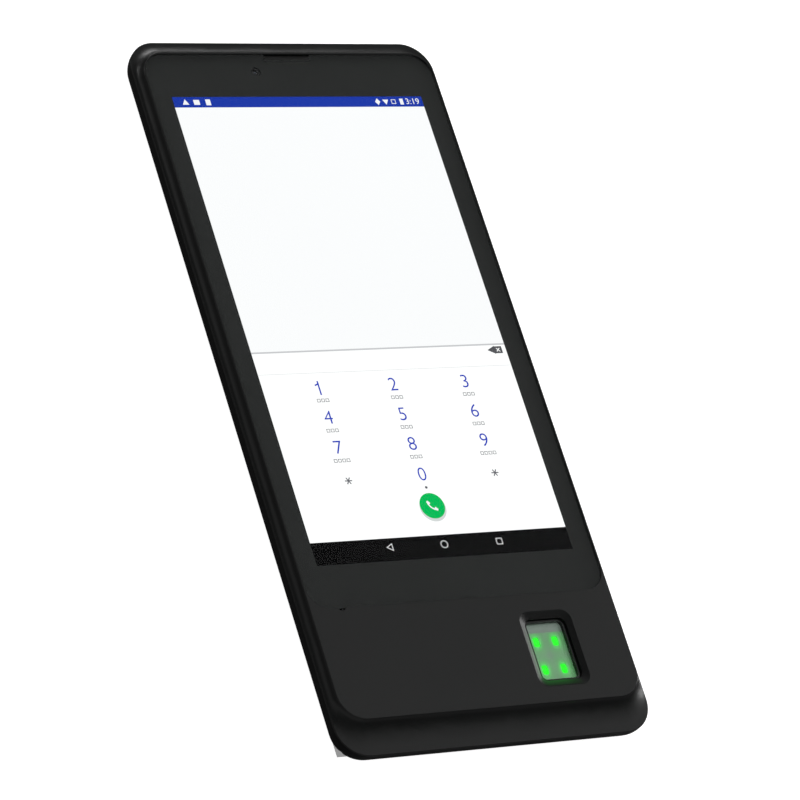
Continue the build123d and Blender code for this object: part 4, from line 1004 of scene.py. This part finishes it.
def spill_light():
    """Painted green lamp light on the dish slopes to the left of the scanner's window and below it."""
    material = finishes["deck_plastic"]
    tree = material.node_tree
    shader = tree.nodes["Principled BSDF"]
    window_low, window_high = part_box("fingerprint_glass")
    middle = (window_low + window_high) / 2
    offset = add_node(tree, "ShaderNodeVectorMath", operation="SUBTRACT")
    offset.inputs[1].default_value = (middle.x, middle.y, deck_top)
    tree.links.new(object_place(tree), offset.inputs[0])
    scaled = add_node(tree, "ShaderNodeVectorMath", operation="DIVIDE")
    scaled.inputs[1].default_value = DISH_HALF_SIZE
    tree.links.new(offset.outputs["Vector"], scaled.inputs[0])
    parts = add_node(tree, "ShaderNodeSeparateXYZ")
    tree.links.new(scaled.outputs["Vector"], parts.inputs["Vector"])
    side = add_node(tree, "ShaderNodeMath", operation="ADD")
    tree.links.new(parts.outputs["X"], side.inputs[0])
    tree.links.new(parts.outputs["Y"], side.inputs[1])
    flat = add_node(tree, "ShaderNodeVectorMath", operation="MULTIPLY")
    flat.inputs[1].default_value = (1.0, 1.0, 0.0)
    tree.links.new(scaled.outputs["Vector"], flat.inputs[0])
    reach = add_node(tree, "ShaderNodeVectorMath", operation="LENGTH")
    tree.links.new(flat.outputs["Vector"], reach.inputs[0])
    masks = []
    for value, (start, end) in (
        (side.outputs["Value"], SPILL_SIDE),
        (reach.outputs["Value"], SPILL_REACH),
        (parts.outputs["Z"], SPILL_DEPTH),
    ):
        mask = add_node(tree, "ShaderNodeMapRange")
        mask.inputs["From Min"].default_value = start
        mask.inputs["From Max"].default_value = end
        tree.links.new(value, mask.inputs["Value"])
        masks.append(mask.outputs["Result"])
    both = add_node(tree, "ShaderNodeMath", operation="MULTIPLY")
    tree.links.new(masks[0], both.inputs[0])
    tree.links.new(masks[1], both.inputs[1])
    spill = add_node(tree, "ShaderNodeMath", operation="MULTIPLY")
    tree.links.new(both.outputs["Value"], spill.inputs[0])
    tree.links.new(masks[2], spill.inputs[1])
    # painted light: the lamps' green, added as a faint glow of the deck's resin
    tint = ramp_node(tree, [(0.0, (0.0, 0.0, 0.0)), (1.0, SPILL_GREEN)])
    tree.links.new(spill.outputs["Value"], tint.inputs["Fac"])
    tree.links.new(tint.outputs["Color"], shader.inputs["Emission Color"])
    shader.inputs["Emission Strength"].default_value = 1.0


spill_light()
print("green light on the dish slopes")

# %% [markdown]
# ## Studio
# A plain pale floor and broad soft lights. The floor is see-through from below and open under the
# flat back, so that the underside can be looked at and a light from below reaches it. The floor
# glows a little for the camera and is dim to everything else, which keeps the walls dark. Lights
# that would wash out the black resin are left out of its gloss; the rest draw its edges.


# %% Studio
FLOOR_OPENING = (mm(96.0), mm(223.0))
FLOOR_SIDE = 6.0
FLOOR_DROP = mm(0.05)


def pale_floor():
    """A wide pale floor under the flat back, open just below it so that the back can be lit."""
    bm = bmesh.new()
    bmesh.ops.create_grid(bm, x_segments=1, y_segments=1, size=0.5)
    bmesh.ops.scale(bm, verts=bm.verts, vec=(*FLOOR_OPENING, 1.0))
    middle_face = bm.faces[:]
    grown = bmesh.ops.extrude_edge_only(bm, edges=bm.edges[:])
    outer = [item for item in grown["geom"] if isinstance(item, bmesh.types.BMVert)]
    spread = (FLOOR_SIDE / FLOOR_OPENING[0], FLOOR_SIDE / FLOOR_OPENING[1], 1.0)
    bmesh.ops.scale(bm, verts=outer, vec=spread)
    bmesh.ops.delete(bm, geom=middle_face, context="FACES_ONLY")
    bm.normal_update()
    downward = [face for face in bm.faces if face.normal.z < 0]
    bmesh.ops.reverse_faces(bm, faces=downward)
    bmesh.ops.translate(bm, verts=bm.verts, vec=(0, 0, -FLOOR_DROP))
    material, tree, shader = new_material("pale_floor")
    shader.inputs["Base Color"].default_value = (0.86, 0.86, 0.86, 1.0)
    shader.inputs["Roughness"].default_value = 0.9
    shader.inputs["Specular IOR Level"].default_value = 0.0
    shader.inputs["Emission Color"].default_value = (1.0, 1.0, 1.0, 1.0)
    shader.inputs["Emission Strength"].default_value = 0.93
    dim = add_node(tree, "ShaderNodeBsdfDiffuse", Color=(0.20, 0.20, 0.20, 1.0))
    path = add_node(tree, "ShaderNodeLightPath")
    seen = add_node(tree, "ShaderNodeMixShader")
    tree.links.new(path.outputs["Is Camera Ray"], seen.inputs["Fac"])
    tree.links.new(dim.outputs["BSDF"], seen.inputs[1])
    tree.links.new(shader.outputs["BSDF"], seen.inputs[2])
    clear = add_node(tree, "ShaderNodeBsdfTransparent")
    side = add_node(tree, "ShaderNodeNewGeometry")
    choose = add_node(tree, "ShaderNodeMixShader")
    output = [n for n in tree.nodes if n.type == "OUTPUT_MATERIAL"][0]
    tree.links.new(side.outputs["Backfacing"], choose.inputs["Fac"])
    tree.links.new(seen.outputs["Shader"], choose.inputs[1])
    tree.links.new(clear.outputs["BSDF"], choose.inputs[2])
    tree.links.new(choose.outputs["Shader"], output.inputs["Surface"])
    floor = object_from("floor", bm, material)
    return floor


def soft_light(name, place, aim, size, power, mirrored=False):
    """A square area light at a place, turned towards a point, and mirrored in gloss if asked."""
    data = bpy.data.lights.new(name, "AREA")
    data.shape = "SQUARE"
    data.size = size
    data.energy = power
    light = bpy.data.objects.new(name, data)
    direction = Vector(aim) - Vector(place)
    light.matrix_world = Matrix.Translation(place) @ direction.to_track_quat("-Z", "Y").to_matrix().to_4x4()
    light.visible_glossy = mirrored
    bpy.context.scene.collection.objects.link(light)
    return light


pale_floor()
soft_light("front_light", (0.35, -1.5, 1.3), (0, 0, 0), 1.1, 3.0)
soft_light("overhead_light", (0.25, 0.10, 2.0), (0, 0, 0), 1.5, 12.0)
soft_light("corner_light", (-1.0, 1.3, 0.75), (0, 0.1, 0), 0.35, 2.0, True)
soft_light("key_side_light", (1.5, 0.3, 0.40), (0, 0, 0), 0.6, 5.0, True)
soft_light("socket_side_light", (0.4, 1.6, 0.40), (0, 0, 0), 0.6, 5.0, True)
soft_light("low_light", (0.3, -0.3, -1.2), (0, 0, 0), 1.5, 14.0, True)


def room():
    """A dim room, lighter low on the near side, with a bright patch that the deck mirrors softly."""
    world = bpy.data.worlds.new("room")
    world.use_nodes = True
    tree = world.node_tree
    direction = add_node(tree, "ShaderNodeTexCoord")
    towards = add_node(tree, "ShaderNodeVectorMath", operation="DOT_PRODUCT")
    towards.inputs[1].default_value = (0.52, 0.25, 0.81)
    tree.links.new(direction.outputs["Generated"], towards.inputs[0])
    shade = ramp_node(tree, [
        (0.0, (0.30, 0.30, 0.30)),
        (0.30, (0.15, 0.15, 0.15)),
        (0.60, (0.06, 0.06, 0.06)),
        (0.86, (0.06, 0.06, 0.06)),
        (0.935, (0.20, 0.20, 0.20)),
        (0.975, (0.56, 0.56, 0.56)),
        (1.0, (0.70, 0.70, 0.70)),
    ])
    tree.links.new(towards.outputs["Value"], shade.inputs["Fac"])
    tree.links.new(shade.outputs["Color"], tree.nodes["Background"].inputs["Color"])
    return world


world = room()
bpy.context.scene.world = world
print("studio ready")
